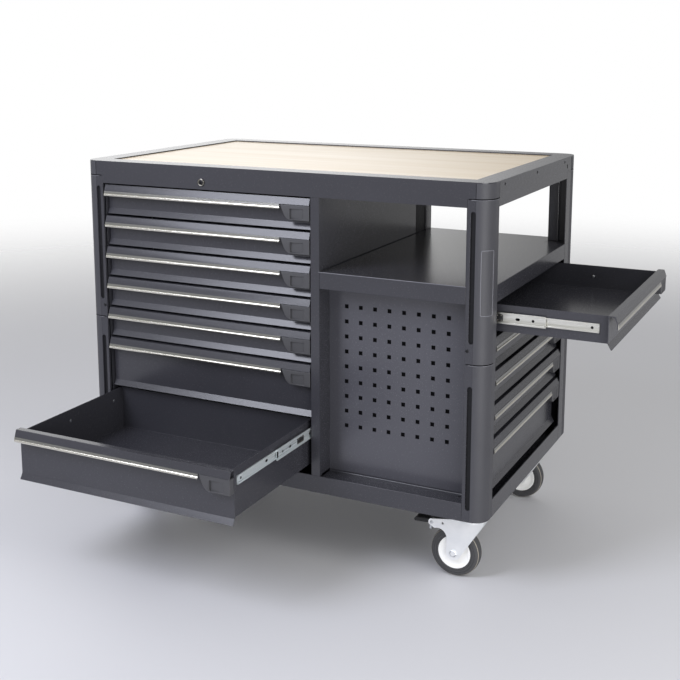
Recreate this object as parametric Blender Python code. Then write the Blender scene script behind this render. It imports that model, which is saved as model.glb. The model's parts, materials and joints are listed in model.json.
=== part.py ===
# Mobile workbench: a steel cabinet on four casters with a plywood top, seven front drawers,
# five drawers in the right side, an open shelf bay and a perforated panel below it.
# All sizes are in metres. The cabinet is laid out from its front left corner on the floor:
# +X runs to the right along the front, +Y to the back and +Z up.

import math

import bmesh
import bpy
from mathutils import Matrix, Vector

# Overall sizes
BENCH_WIDTH = 1.122
BENCH_DEPTH = 0.724
BENCH_HEIGHT = 0.982

# Sheet metal and fits
SHEET = 0.002
SEAT_GAP = 0.0003
CUT_MARGIN = 0.002
ROUND_STEPS = 7
BAR_SIDES = 24
PIN_SIDES = 16
SMOOTH_ANGLE = 35

# Top frame and board
RIM_WIDTH = 0.053
APRON_HEIGHT = 0.058
CAP_HEIGHT = 0.038
BOARD_THICKNESS = 0.030
BOARD_SINK = 0.003
BOARD_LEDGE = 0.015

# Corner posts
POST_FRONT = 0.056
POST_SIDE = 0.054
POST_RADIUS = 0.036
POST_WALL = 0.0025
POST_STRIP_THICKNESS = 0.0075
REAR_LEAF = 0.040
SLOT_WIDTH = 0.012
SLOT_DEPTH = 0.005
SLOT_INSET = 0.008
SLOT_TOP_DROP = 0.066
SLOT_MIDDLE_DROP = 0.370
SLOT_LOWER_DROP = 0.470
SLOT_END_LIFT = 0.029

# Base tray
BASE_BOTTOM = 0.183
BASE_HEIGHT = 0.044
BASE_SHEET = 0.003

# Inner walls and shelf
CELL_WALL_OFFSET = 0.002
SIDE_BAY_WIDTH = 0.451
DIVIDER_WALL = 0.020
DIVIDER_STRIP = 0.023
DIVIDER_STRIP_DEPTH = 0.012
SIDE_CELL_LENGTH = 0.398
LEFT_WALL_DEPTH = 0.420
LEFT_WALL_SETBACK = 0.010
SHELF_DROP = 0.238
SHELF_HEIGHT = 0.041

# Perforated panel
PANEL_SETBACK = 0.060
PANEL_RIGHT_MARGIN = 0.030
HOLE_SIZE = 0.010
HOLE_PITCH = 0.038
HOLE_COLUMNS = 8
HOLE_ROWS = 9
HOLE_SIDE_MARGIN = 0.0475
HOLE_TOP_MARGIN = 0.051

# Drawer fronts
LARGE_RATIO = 1.697
FRONT_LARGE_COUNT = 2
SIDE_LARGE_COUNT = 1
FRONT_SMALL_COUNT = 5
SIDE_SMALL_COUNT = 4
BANK_TOP_GAP = 0.0045
BANK_BOTTOM_GAP = 0.0055
FRONT_GAP = 0.0055
FRONT_END_GAP = 0.004
FRONT_SHEET = 0.002
LIP_REACH = 0.020
LIP_TOP_SETBACK = 0.006
LIP_SLOPE_DROP = 0.017
LIP_NOSE_HEIGHT = 0.012
LIP_WALL = 0.0025
FLARE_HEIGHT = 0.0145
FLARE_REACH = 0.0085

# Drawer boxes and slides
BOX_DEPTH = 0.385
BOX_WALL = 0.002
BOX_TOP_DROP = 0.004
BOX_FLOOR_LIFT = 0.010
SLIDE_SPACE = 0.013
SLIDE_MEMBER = 0.004
SLIDE_HEIGHT = 0.027
SLIDE_DROP = 0.034
SLIDE_SETBACK = 0.026
SLIDE_LENGTH = 0.360
SLIDE_LIP = 0.005
SLIDE_GROOVE = 0.0015
FRONT_PULL = 0.375
SIDE_PULL = 0.275
OPEN_FRONT_DRAWER = 7
OPEN_SIDE_DRAWER = 1

# Paddle latches
LATCH_WIDTH = 0.080
LATCH_SLANT = 0.016
LATCH_CORNER = 0.010
LATCH_TAIL_WIDTH = 0.018
LATCH_TAIL_DROP = 0.004
LATCH_BACK_GAP = 0.0007
LATCH_TOP_GAP = 0.0008
LATCH_FLARE_GAP = 0.0015
LATCH_POCKET_LEFT = 0.026
LATCH_POCKET_WIDTH = 0.036
LATCH_POCKET_DROP = 0.009
LATCH_POCKET_EDGE = 0.005
LATCH_POCKET_DEPTH = 0.008

# Lock in the apron
LOCK_DROP = 0.040
LOCK_RADIUS = 0.0095
LOCK_CORE_RADIUS = 0.0060
LOCK_PROUD = 0.003
LOCK_LENGTH = 0.020
KEY_SLOT_WIDTH = 0.0016
KEY_SLOT_HEIGHT = 0.0070
KEY_SLOT_DEPTH = 0.006

# Casters
CASTER_INSET_X = 0.0625
CASTER_INSET_Y = 0.095
CASTER_PLATE_X = 0.105
CASTER_PLATE_Y = 0.085
CASTER_PLATE_THICKNESS = 0.006
RACE_RADIUS = 0.030
RACE_HEIGHT = 0.015
CROWN_RADIUS = 0.033
CROWN_HEIGHT = 0.012
WHEEL_RADIUS = 0.0625
WHEEL_WIDTH = 0.034
HUB_RADIUS = 0.0415
HUB_DISH = 0.003
HUB_RIM = 0.006
HUB_BOSS_WALL = 0.006
HUB_BOSS_SLOPE = 0.004
HUB_BOSS_PROUD = 0.002
TYRE_SHOULDER = 0.010
TYRE_CROWN = 0.0025
TYRE_CROWN_RATIO = 0.72
TYRE_TREAD_RATIO = 0.35
HUB_BORE = 0.0065
AXLE_RADIUS = 0.006
AXLE_HEAD = 0.004
TRAIL = 0.038
FORK_GAP = 0.003
FORK_PLATE = 0.0035
FORK_TOP_REACH = 0.038
FORK_FOOT_RADIUS = 0.018
FORK_FOOT_START = 323
FORK_FOOT_END = 180
ARCH_REACH = 0.078
ARCH_DROP = 0.063
ARCH_RADIUS = 0.022
ARCH_END = 115
HORN_REACH = 0.095
HORN_DROP = 0.029
HORN_RADIUS = 0.009
HORN_TIP_START = 250
HORN_TIP_END = 110
HORN_HOLE_REACH = 0.0665
HORN_HOLE_DROP = 0.027
HORN_HOLE_RADIUS = 0.003
PEDAL_LENGTH = 0.044
PEDAL_DROP = 0.003
PEDAL_THICKNESS = 0.010
PEDAL_WIDTH = 0.034
HEEL_LENGTH = 0.034
HEEL_TOP = 0.0155
HEEL_THICKNESS = 0.009
HEEL_ROOT = 0.004
PEDAL_PIN_RADIUS = 0.0049
PEDAL_TIP_START = 110
PEDAL_TIP_END = 250
PEDAL_TIP_STEPS = 4
WHEEL_SIDES = 28

# Levels and planes worked out from the sizes above
BASE_TOP = BASE_BOTTOM + BASE_HEIGHT
APRON_BOTTOM = BENCH_HEIGHT - APRON_HEIGHT
POST_TOP = BENCH_HEIGHT - CAP_HEIGHT - SEAT_GAP
POST_BOTTOM = BASE_BOTTOM + SEAT_GAP
SHELF_TOP = BENCH_HEIGHT - SHELF_DROP
SHELF_BOTTOM = SHELF_TOP - SHELF_HEIGHT
DIVIDER_LEFT = BENCH_WIDTH - SIDE_BAY_WIDTH
DIVIDER_RIGHT = DIVIDER_LEFT + DIVIDER_WALL
LEFT_WALL_FACE = POST_FRONT + CELL_WALL_OFFSET
PANEL_BACK = PANEL_SETBACK + SHEET
SIDE_CELL_REAR = BENCH_DEPTH - POST_SIDE - REAR_LEAF
RACE_BOTTOM = BASE_BOTTOM - CASTER_PLATE_THICKNESS - RACE_HEIGHT
CROWN_TOP = RACE_BOTTOM - SEAT_GAP
LOCK_X = (POST_FRONT + DIVIDER_LEFT) / 2

# Each bank of drawers fills the height of its cell, in small and large steps
FRONT_SHARES = [1.0] * FRONT_SMALL_COUNT + [LARGE_RATIO] * FRONT_LARGE_COUNT
SIDE_SHARES = [1.0] * SIDE_SMALL_COUNT + [LARGE_RATIO] * SIDE_LARGE_COUNT
FRONT_STEP = (APRON_BOTTOM - BANK_TOP_GAP - BASE_TOP) / sum(FRONT_SHARES)
SIDE_STEP = (SHELF_BOTTOM - BANK_TOP_GAP - BASE_TOP) / sum(SIDE_SHARES)

# The latch fills the small fronts from the lip's nose down to the flared edge
LATCH_DROP = LIP_SLOPE_DROP + LATCH_TOP_GAP
LATCH_HEIGHT = min(FRONT_STEP, SIDE_STEP) - FRONT_GAP - LATCH_DROP - FLARE_HEIGHT - LATCH_FLARE_GAP

# The model's origin is on the floor under the middle of its box, open drawers included
ORIGIN_X = (BENCH_WIDTH + SIDE_PULL) / 2
ORIGIN_Y = (BENCH_DEPTH - FRONT_PULL) / 2

PAINT = ("anthracite_paint", (0.085, 0.085, 0.095), 0.45, 0.2)
PLYWOOD = ("birch_plywood", (0.84, 0.70, 0.52), 0.55, 0.0)
ZINC = ("zinc_plate", (0.72, 0.73, 0.74), 0.35, 0.9)
PLASTIC = ("grey_plastic", (0.095, 0.095, 0.1), 0.6, 0.0)
RUBBER = ("grey_rubber", (0.07, 0.07, 0.075), 0.8, 0.0)
BLACK = ("black_plastic", (0.015, 0.015, 0.016), 0.5, 0.0)
BRASS = ("nickel_brass", (0.6, 0.58, 0.54), 0.3, 0.9)


# Shape helpers

def block(low, high):
    shape = bmesh.new()
    centre = (Vector(low) + Vector(high)) / 2
    size = Vector(high) - Vector(low)
    place = Matrix.Translation(centre) @ Matrix.Diagonal((*size, 1.0))
    bmesh.ops.create_cube(shape, size=1.0, matrix=place)
    return shape


def prism(outline, axis, low, high):
    # A flat outline drawn square to the axis and extruded from low to high
    turn = {"X": lambda u, v, w: (w, u, v), "Y": lambda u, v, w: (u, w, v), "Z": lambda u, v, w: (u, v, w)}
    shape = bmesh.new()
    corners = [shape.verts.new(turn[axis](u, v, low)) for u, v in outline]
    face = shape.faces.new(corners)
    grown = bmesh.ops.extrude_face_region(shape, geom=[face])
    moved = [part for part in grown["geom"] if isinstance(part, bmesh.types.BMVert)]
    bmesh.ops.translate(shape, verts=moved, vec=turn[axis](0.0, 0.0, high - low))
    bmesh.ops.recalc_face_normals(shape, faces=shape.faces)
    return shape


def turned(section, steps):
    # A closed section of (radius, along) points spun about the Y axis
    shape = bmesh.new()
    ring = [shape.verts.new((radius, along, 0.0)) for radius, along in section]
    edges = [shape.edges.new((ring[i - 1], ring[i])) for i in range(len(ring))]
    bmesh.ops.spin(shape, geom=ring + edges, cent=(0, 0, 0), axis=(0, 1, 0), angle=2 * math.pi, steps=steps,
                   use_merge=True)
    bmesh.ops.remove_doubles(shape, verts=shape.verts, dist=1e-6)
    bmesh.ops.recalc_face_normals(shape, faces=shape.faces)
    return shape


def cylinder(radius, low, high, axis, steps):
    # A round bar along an axis of the bench, centred on that axis
    shape = bmesh.new()
    bmesh.ops.create_cone(shape, cap_ends=True, segments=steps, radius1=radius, radius2=radius,
                          depth=high - low)
    bmesh.ops.translate(shape, verts=shape.verts, vec=(0, 0, (low + high) / 2))
    if axis == "Y":
        bmesh.ops.rotate(shape, verts=shape.verts, matrix=Matrix.Rotation(math.radians(-90), 3, "X"))
    return shape


def arc(centre, radius, start, end, steps):
    angles = [math.radians(start + (end - start) * i / steps) for i in range(steps + 1)]
    return [(centre[0] + radius * math.cos(a), centre[1] + radius * math.sin(a)) for a in angles]


def shifted(shape, offset):
    bmesh.ops.translate(shape, verts=shape.verts, vec=offset)
    return shape


def merged(shapes):
    # Several separate shapes kept side by side in one mesh, used as one cutter
    whole = bmesh.new()
    for shape in shapes:
        mesh = bpy.data.meshes.new("piece")
        shape.to_mesh(mesh)
        shape.free()
        whole.from_mesh(mesh)
        bpy.data.meshes.remove(mesh)
    return whole


def stand(shape, name="piece"):
    mesh = bpy.data.meshes.new(name)
    shape.to_mesh(mesh)
    shape.free()
    item = bpy.data.objects.new(name, mesh)
    parts.objects.link(item)
    return item


def combine(item, operation, shapes):
    # Cuts or joins shapes to a piece one after another and keeps the result as its mesh
    tools = [stand(shape) for shape in shapes]
    for tool in tools:
        step = item.modifiers.new(operation.title(), "BOOLEAN")
        step.operation = operation
        step.solver = "EXACT"
        step.object = tool
    graph = bpy.context.evaluated_depsgraph_get()
    result = bpy.data.meshes.new_from_object(item.evaluated_get(graph))
    item.modifiers.clear()
    spent = [item.data] + [tool.data for tool in tools]
    item.data = result
    for tool in tools:
        bpy.data.objects.remove(tool)
    for mesh in spent:
        bpy.data.meshes.remove(mesh)
    return item


def material(finish):
    name, colour, roughness, metallic = finish
    found = bpy.data.materials.get(name)
    if found:
        return found
    made = bpy.data.materials.new(name)
    made.use_nodes = True
    shader = made.node_tree.nodes["Principled BSDF"]
    shader.inputs["Base Color"].default_value = (*colour, 1.0)
    shader.inputs["Roughness"].default_value = roughness
    shader.inputs["Metallic"].default_value = metallic
    return made


def finish(item, name, look, place=(0, 0, 0), turn=0.0):
    # Names a piece, gives it its material and sets it in the bench
    item.name = name
    item.data.name = name
    item.data.materials.clear()
    item.data.materials.append(material(look))
    item.data.shade_smooth()
    item.data.set_sharp_from_angle(angle=math.radians(SMOOTH_ANGLE))
    item.location = place
    item.rotation_euler = (0, 0, turn)
    item.parent = bench
    return item


# Outlines

def rounded_plan(inset):
    # The bench's plan with rounded corners, drawn in from its outer face
    radius = max(POST_RADIUS - inset, SHEET)
    left, front = inset + radius, inset + radius
    right, back = BENCH_WIDTH - left, BENCH_DEPTH - front
    corners = [((right, front), -90), ((right, back), 0), ((left, back), 90), ((left, front), 180)]
    return [point for centre, start in corners
            for point in arc(centre, radius, start, start + 90, ROUND_STEPS)]


def stadium(middle, half_width, low, high):
    # A slot outline with round ends, standing upright
    return (arc((middle, high - half_width), half_width, 0, 180, ROUND_STEPS)
            + arc((middle, low + half_width), half_width, 180, 360, ROUND_STEPS))


def post_outline(side_leg):
    # A folded corner post in plan, from its inner front edge round the corner to its side edge
    inner = POST_RADIUS - POST_WALL
    strip = POST_RADIUS - POST_WALL
    turn_end = 270 - math.degrees(math.asin((POST_RADIUS - strip) / inner))
    outer_arc = arc((POST_RADIUS, POST_RADIUS), POST_RADIUS, 270, 180, ROUND_STEPS)
    inner_arc = arc((POST_RADIUS, POST_RADIUS), inner, 180, turn_end, ROUND_STEPS)
    return ([(POST_FRONT, 0.0)] + outer_arc + [(0.0, side_leg), (POST_WALL, side_leg)] + inner_arc
            + [(strip, POST_STRIP_THICKNESS), (POST_FRONT, POST_STRIP_THICKNESS)])


def front_outline(height):
    # Drawer front in section: a hanging lip with a nose, a flat panel and a flared bottom edge
    face = LIP_REACH
    back = LIP_REACH + FRONT_SHEET
    nose_bottom = -(LIP_SLOPE_DROP + LIP_NOSE_HEIGHT)
    return [
        (back, 0.0),
        (LIP_TOP_SETBACK, 0.0),
        (0.0, -LIP_SLOPE_DROP),
        (0.0, nose_bottom),
        (LIP_WALL, nose_bottom),
        (LIP_WALL, -LIP_SLOPE_DROP),
        (LIP_TOP_SETBACK + LIP_WALL, -LIP_WALL),
        (face, -LIP_WALL),
        (face, FLARE_HEIGHT - height),
        (face - FLARE_REACH, -height),
        (back - FLARE_REACH, -height),
        (back, FLARE_HEIGHT - height),
    ]


def slide_outline(wall_side, box_side):
    # A slide member in section, with a shallow groove on the side that faces the cabinet wall
    half = SLIDE_HEIGHT / 2
    groove = wall_side + math.copysign(SLIDE_GROOVE, box_side - wall_side)
    return [
        (wall_side, SLIDE_LIP - half),
        (wall_side, -half),
        (box_side, -half),
        (box_side, half),
        (wall_side, half),
        (wall_side, half - SLIDE_LIP),
        (groove, half - SLIDE_LIP),
        (groove, SLIDE_LIP - half),
    ]


# Drawer banks: where each one starts, which way it faces and how it is divided

def make_bank(kind):
    # The left and right walls are measured along the front from the front's own left end
    if kind == "front":
        return {
            "prefix": "front",
            "turn": 0.0,
            "start": (POST_FRONT + FRONT_END_GAP, 0.0),
            "out": (0.0, -1.0),
            "width": DIVIDER_LEFT - POST_FRONT - 2 * FRONT_END_GAP,
            "walls": (LEFT_WALL_FACE - POST_FRONT - FRONT_END_GAP, DIVIDER_LEFT - POST_FRONT - FRONT_END_GAP),
            "pitches": [FRONT_STEP * share for share in FRONT_SHARES],
            "open": OPEN_FRONT_DRAWER,
            "pull": FRONT_PULL,
        }
    return {
        "prefix": "side",
        "turn": math.radians(90),
        "start": (BENCH_WIDTH, POST_SIDE + FRONT_END_GAP),
        "out": (1.0, 0.0),
        "width": SIDE_CELL_REAR - POST_SIDE - 2 * FRONT_END_GAP,
        "walls": (PANEL_BACK - POST_SIDE - FRONT_END_GAP, SIDE_CELL_REAR - POST_SIDE - FRONT_END_GAP),
        "pitches": [SIDE_STEP * share for share in SIDE_SHARES],
        "open": OPEN_SIDE_DRAWER,
        "pull": SIDE_PULL,
    }


def drawer_tops(bank):
    # The upper edge of each drawer's cell, stacked up from the base
    level = BASE_TOP + sum(bank["pitches"])
    tops = []
    for pitch in bank["pitches"]:
        tops.append(level)
        level -= pitch
    return tops


def placed(bank, top, pull, along=0.0):
    # The place of a drawer piece, given how far it is pulled and its offset along the front
    x = bank["start"][0] + bank["out"][0] * pull + along * math.cos(bank["turn"])
    y = bank["start"][1] + bank["out"][1] * pull + along * math.sin(bank["turn"])
    return (x, y, top)


# Pieces of the carcass

def build_top():
    frame = stand(prism(rounded_plan(0.0), "Z", APRON_BOTTOM, BENCH_HEIGHT))
    board_bottom = BENCH_HEIGHT - BOARD_SINK - BOARD_THICKNESS
    ledge_top = board_bottom - SEAT_GAP
    ledge_bottom = ledge_top - SHEET
    under_rim = stand(prism(rounded_plan(SHEET), "Z", ledge_bottom - CUT_MARGIN, BENCH_HEIGHT - SHEET))
    combine(under_rim, "DIFFERENCE", [prism(rounded_plan(RIM_WIDTH - SHEET), "Z",
                                            ledge_bottom - 2 * CUT_MARGIN, BENCH_HEIGHT)])
    hollow = bmesh.new()
    hollow.from_mesh(under_rim.data)
    bpy.data.objects.remove(under_rim)
    lock_hole = shifted(cylinder(LOCK_RADIUS + SEAT_GAP, -CUT_MARGIN, SHEET + CUT_MARGIN, "Y", BAR_SIDES),
                        (LOCK_X, 0, BENCH_HEIGHT - LOCK_DROP))
    combine(frame, "DIFFERENCE", [
        prism(rounded_plan(SHEET), "Z", APRON_BOTTOM - CUT_MARGIN, ledge_bottom),
        hollow,
        prism(rounded_plan(RIM_WIDTH), "Z", ledge_top, BENCH_HEIGHT + CUT_MARGIN),
        prism(rounded_plan(RIM_WIDTH + BOARD_LEDGE), "Z", APRON_BOTTOM, BENCH_HEIGHT),
        corner_notches(APRON_BOTTOM - CUT_MARGIN, BENCH_HEIGHT - CAP_HEIGHT),
        lock_hole,
    ])
    finish(frame, "top_frame", PAINT)
    board = prism(rounded_plan(RIM_WIDTH + SEAT_GAP), "Z", board_bottom, BENCH_HEIGHT - BOARD_SINK)
    finish(stand(board), "worktop_board", PLYWOOD)


def build_post(name, right, rear, side_leg):
    def plan(point):
        x = BENCH_WIDTH - point[0] if right else point[0]
        y = BENCH_DEPTH - point[1] if rear else point[1]
        return (x, y)

    post = stand(prism([plan(point) for point in post_outline(side_leg)], "Z", POST_BOTTOM, POST_TOP))
    middle = plan((POST_FRONT - SLOT_INSET - SLOT_WIDTH / 2, 0.0))[0]
    reach = sorted([plan((0.0, -CUT_MARGIN))[1], plan((0.0, SLOT_DEPTH))[1]])
    spans = [(BENCH_HEIGHT - SLOT_MIDDLE_DROP, BENCH_HEIGHT - SLOT_TOP_DROP),
             (BASE_BOTTOM + SLOT_END_LIFT, BENCH_HEIGHT - SLOT_LOWER_DROP)]
    slots = [prism(stadium(middle, SLOT_WIDTH / 2, low, high), "Y", *reach) for low, high in spans]
    combine(post, "DIFFERENCE", [merged(slots)])
    finish(post, name, PAINT)


def corner_notches(low, high):
    rear_right_leg = POST_SIDE + REAR_LEAF
    spans = [(0.0, POST_FRONT, 0.0, POST_SIDE),
             (0.0, POST_FRONT, BENCH_DEPTH - POST_SIDE, BENCH_DEPTH),
             (BENCH_WIDTH - POST_FRONT, BENCH_WIDTH, 0.0, POST_SIDE),
             (BENCH_WIDTH - POST_FRONT, BENCH_WIDTH, BENCH_DEPTH - rear_right_leg, BENCH_DEPTH)]
    return merged([block((x0 - SEAT_GAP, y0 - SEAT_GAP, low), (x1 + SEAT_GAP, y1 + SEAT_GAP, high))
                   for x0, x1, y0, y1 in spans])


def caster_places():
    return {
        "front_left": (CASTER_INSET_X, CASTER_INSET_Y),
        "front_right": (BENCH_WIDTH - CASTER_INSET_X, CASTER_INSET_Y),
        "rear_left": (CASTER_INSET_X, BENCH_DEPTH - CASTER_INSET_Y),
        "rear_right": (BENCH_WIDTH - CASTER_INSET_X, BENCH_DEPTH - CASTER_INSET_Y),
    }


def build_base():
    base = stand(block((0, 0, BASE_BOTTOM), (BENCH_WIDTH, BENCH_DEPTH, BASE_TOP)))
    inside = block((BASE_SHEET, BASE_SHEET, BASE_BOTTOM + BASE_SHEET),
                   (BENCH_WIDTH - BASE_SHEET, BENCH_DEPTH - BASE_SHEET, BASE_TOP + CUT_MARGIN))
    combine(base, "DIFFERENCE", [inside, corner_notches(BASE_BOTTOM - CUT_MARGIN, BASE_TOP + CUT_MARGIN)])
    plate_top = BASE_BOTTOM
    plate_bottom = BASE_BOTTOM - CASTER_PLATE_THICKNESS
    for x, y in caster_places().values():
        plate = block((x - CASTER_PLATE_X / 2, y - CASTER_PLATE_Y / 2, plate_bottom),
                      (x + CASTER_PLATE_X / 2, y + CASTER_PLATE_Y / 2, plate_top))
        race = shifted(cylinder(RACE_RADIUS, RACE_BOTTOM, plate_bottom + SHEET, "Z", BAR_SIDES), (x, y, 0))
        combine(base, "UNION", [plate, race])
    finish(base, "base_tray", PAINT)


def rails(bank, wall, toward_box):
    # Fixed slide members along one wall of a bank, one for each drawer
    shapes = []
    reach = sorted([wall - math.copysign(SHEET / 2, toward_box),
                    wall + math.copysign(SLIDE_MEMBER, toward_box)])
    for top in drawer_tops(bank):
        middle = top - SLIDE_DROP
        low = (reach[0], SLIDE_SETBACK, middle - SLIDE_HEIGHT / 2)
        high = (reach[1], SLIDE_SETBACK + SLIDE_LENGTH, middle + SLIDE_HEIGHT / 2)
        rail = block(low, high)
        spin = Matrix.Rotation(bank["turn"], 4, "Z")
        bmesh.ops.transform(rail, matrix=Matrix.Translation((*bank["start"], 0)) @ spin, verts=rail.verts)
        shapes.append(rail)
    return merged(shapes)


def build_walls(front_bank, side_bank):
    low, high = BASE_TOP + SEAT_GAP, APRON_BOTTOM - SEAT_GAP
    back_face = BENCH_DEPTH - 2 * SHEET
    side_start, side_end = POST_SIDE + SEAT_GAP, BENCH_DEPTH - POST_SIDE - SEAT_GAP
    inner_back = LEFT_WALL_FACE - SHEET
    # The left side is one bent sheet: outer wall, rear web and the inner wall that carries the slides
    left_plan = [(0.0, side_start), (SHEET, side_start), (SHEET, LEFT_WALL_DEPTH - SHEET),
                 (inner_back, LEFT_WALL_DEPTH - SHEET), (inner_back, LEFT_WALL_SETBACK),
                 (LEFT_WALL_FACE, LEFT_WALL_SETBACK), (LEFT_WALL_FACE, LEFT_WALL_DEPTH),
                 (SHEET, LEFT_WALL_DEPTH), (SHEET, side_end), (0.0, side_end)]
    left = stand(prism(left_plan, "Z", low, high))
    combine(left, "UNION", [rails(front_bank, front_bank["walls"][0], 1.0)])
    finish(left, "left_side_panel", PAINT)

    strip_right = DIVIDER_LEFT + DIVIDER_STRIP
    rear = back_face - SEAT_GAP
    hollow_left, hollow_right = DIVIDER_LEFT + SHEET, DIVIDER_RIGHT - SHEET
    # The divider is a folded double wall, open at the back, with a wider strip at the front
    divider_plan = [(DIVIDER_LEFT, 0.0), (strip_right, 0.0), (strip_right, DIVIDER_STRIP_DEPTH),
                    (DIVIDER_RIGHT, DIVIDER_STRIP_DEPTH), (DIVIDER_RIGHT, rear - DIVIDER_STRIP_DEPTH),
                    (strip_right, rear - DIVIDER_STRIP_DEPTH), (strip_right, rear), (hollow_right, rear),
                    (hollow_right, SHEET), (hollow_left, SHEET), (hollow_left, rear), (DIVIDER_LEFT, rear)]
    divider = stand(prism(divider_plan, "Z", low, high))
    return_wall = block((DIVIDER_RIGHT - SHEET, SIDE_CELL_REAR, low),
                        (DIVIDER_RIGHT + SIDE_CELL_LENGTH, SIDE_CELL_REAR + SHEET, SHELF_BOTTOM - SEAT_GAP))
    combine(divider, "UNION", [return_wall, rails(front_bank, front_bank["walls"][1], -1.0),
                               rails(side_bank, side_bank["walls"][1], -1.0)])
    finish(divider, "divider_wall", PAINT)

    # The back is closed behind the drawers and open behind the shelf bay
    left_end, right_end = POST_FRONT + SEAT_GAP, BENCH_WIDTH - POST_FRONT - SEAT_GAP
    bay_floor = SHELF_BOTTOM - SEAT_GAP
    back_view = [(left_end, low), (right_end, low), (right_end, bay_floor), (strip_right, bay_floor),
                 (strip_right, high), (left_end, high)]
    finish(stand(prism(back_view, "Y", back_face, back_face + SHEET)), "back_panel", PAINT)


def shelf_outline(inset):
    left = DIVIDER_LEFT + DIVIDER_STRIP + SEAT_GAP + inset
    post_x = BENCH_WIDTH - POST_FRONT - SEAT_GAP - inset
    front_y = POST_SIDE + SEAT_GAP + inset
    rear_y = SIDE_CELL_REAR - SEAT_GAP - inset
    return [(left, inset), (post_x, inset), (post_x, front_y), (BENCH_WIDTH - inset, front_y),
            (BENCH_WIDTH - inset, rear_y), (post_x, rear_y), (post_x, BENCH_DEPTH - inset),
            (left, BENCH_DEPTH - inset)]


def build_shelf():
    shelf = stand(prism(shelf_outline(0.0), "Z", SHELF_BOTTOM, SHELF_TOP))
    hollow = prism(shelf_outline(SHEET), "Z", SHELF_BOTTOM - CUT_MARGIN, SHELF_TOP - SHEET)
    combine(shelf, "DIFFERENCE", [hollow])
    finish(shelf, "shelf_tray", PAINT)


def build_perforated_panel(side_bank):
    low, high = BASE_TOP + SEAT_GAP, SHELF_BOTTOM - SEAT_GAP
    panel = stand(block((DIVIDER_RIGHT + SEAT_GAP, PANEL_SETBACK, low),
                        (BENCH_WIDTH - PANEL_RIGHT_MARGIN, PANEL_BACK, high)))
    half = HOLE_SIZE / 2
    holes = []
    for column in range(HOLE_COLUMNS):
        for row in range(HOLE_ROWS):
            x = DIVIDER_RIGHT + HOLE_SIDE_MARGIN + column * HOLE_PITCH
            z = SHELF_BOTTOM - HOLE_TOP_MARGIN - row * HOLE_PITCH
            holes.append(block((x - half, PANEL_SETBACK - CUT_MARGIN, z - half),
                               (x + half, PANEL_BACK + CUT_MARGIN, z + half)))
    combine(panel, "DIFFERENCE", [merged(holes)])
    combine(panel, "UNION", [rails(side_bank, side_bank["walls"][0], 1.0)])
    finish(panel, "perforated_panel", PAINT)


def build_lock():
    core_gap = LOCK_CORE_RADIUS + SEAT_GAP
    barrel = turned([(core_gap, -LOCK_PROUD), (LOCK_RADIUS, -LOCK_PROUD), (LOCK_RADIUS, LOCK_LENGTH),
                     (core_gap, LOCK_LENGTH)], BAR_SIDES)
    centre = (LOCK_X, 0.0, BENCH_HEIGHT - LOCK_DROP)
    finish(stand(barrel), "lock_barrel", BRASS, centre)
    core = stand(cylinder(LOCK_CORE_RADIUS, -LOCK_PROUD, LOCK_LENGTH, "Y", BAR_SIDES))
    slot = block((-KEY_SLOT_WIDTH / 2, -LOCK_PROUD - CUT_MARGIN, -KEY_SLOT_HEIGHT / 2),
                 (KEY_SLOT_WIDTH / 2, KEY_SLOT_DEPTH - LOCK_PROUD, KEY_SLOT_HEIGHT / 2))
    combine(core, "DIFFERENCE", [slot])
    finish(core, "lock_core", BRASS, centre)


# Drawers, latches and slides

def build_drawer(bank, height, fused_slides):
    # One drawer in its own frame: x along the front, y into the cabinet, z up from the lip's top
    width = bank["width"]
    box_left = bank["walls"][0] + SLIDE_SPACE
    box_right = bank["walls"][1] - SLIDE_SPACE
    box_front = LIP_REACH + FRONT_SHEET / 2
    box_back = LIP_REACH + FRONT_SHEET + BOX_DEPTH
    floor = BOX_FLOOR_LIFT - height
    drawer = stand(prism(front_outline(height), "X", 0.0, width))
    latch_zone = block((width - LATCH_WIDTH - SEAT_GAP, -CUT_MARGIN, -LIP_SLOPE_DROP - 2 * LIP_NOSE_HEIGHT),
                       (width + CUT_MARGIN, LIP_WALL + CUT_MARGIN, -LIP_SLOPE_DROP))
    combine(drawer, "DIFFERENCE", [latch_zone])
    box = stand(block((box_left, box_front, floor), (box_right, box_back, -BOX_TOP_DROP)))
    combine(box, "DIFFERENCE", [block((box_left + BOX_WALL, box_front + BOX_WALL, floor + BOX_WALL),
                                      (box_right - BOX_WALL, box_back - BOX_WALL, CUT_MARGIN))])
    tray = bmesh.new()
    tray.from_mesh(box.data)
    bpy.data.objects.remove(box)
    joined = [tray]
    if fused_slides:
        runner = SLIDE_SPACE - SLIDE_MEMBER - SEAT_GAP
        for side, wall in ((1.0, box_left), (-1.0, box_right)):
            reach = sorted([wall - side * runner, wall + side * BOX_WALL / 2])
            outline = [(x, z - SLIDE_DROP) for x, z in slide_outline(*(reach if side > 0 else reach[::-1]))]
            joined.append(prism(outline, "Y", SLIDE_SETBACK, SLIDE_SETBACK + SLIDE_LENGTH))
    combine(drawer, "UNION", joined)
    return drawer


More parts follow.
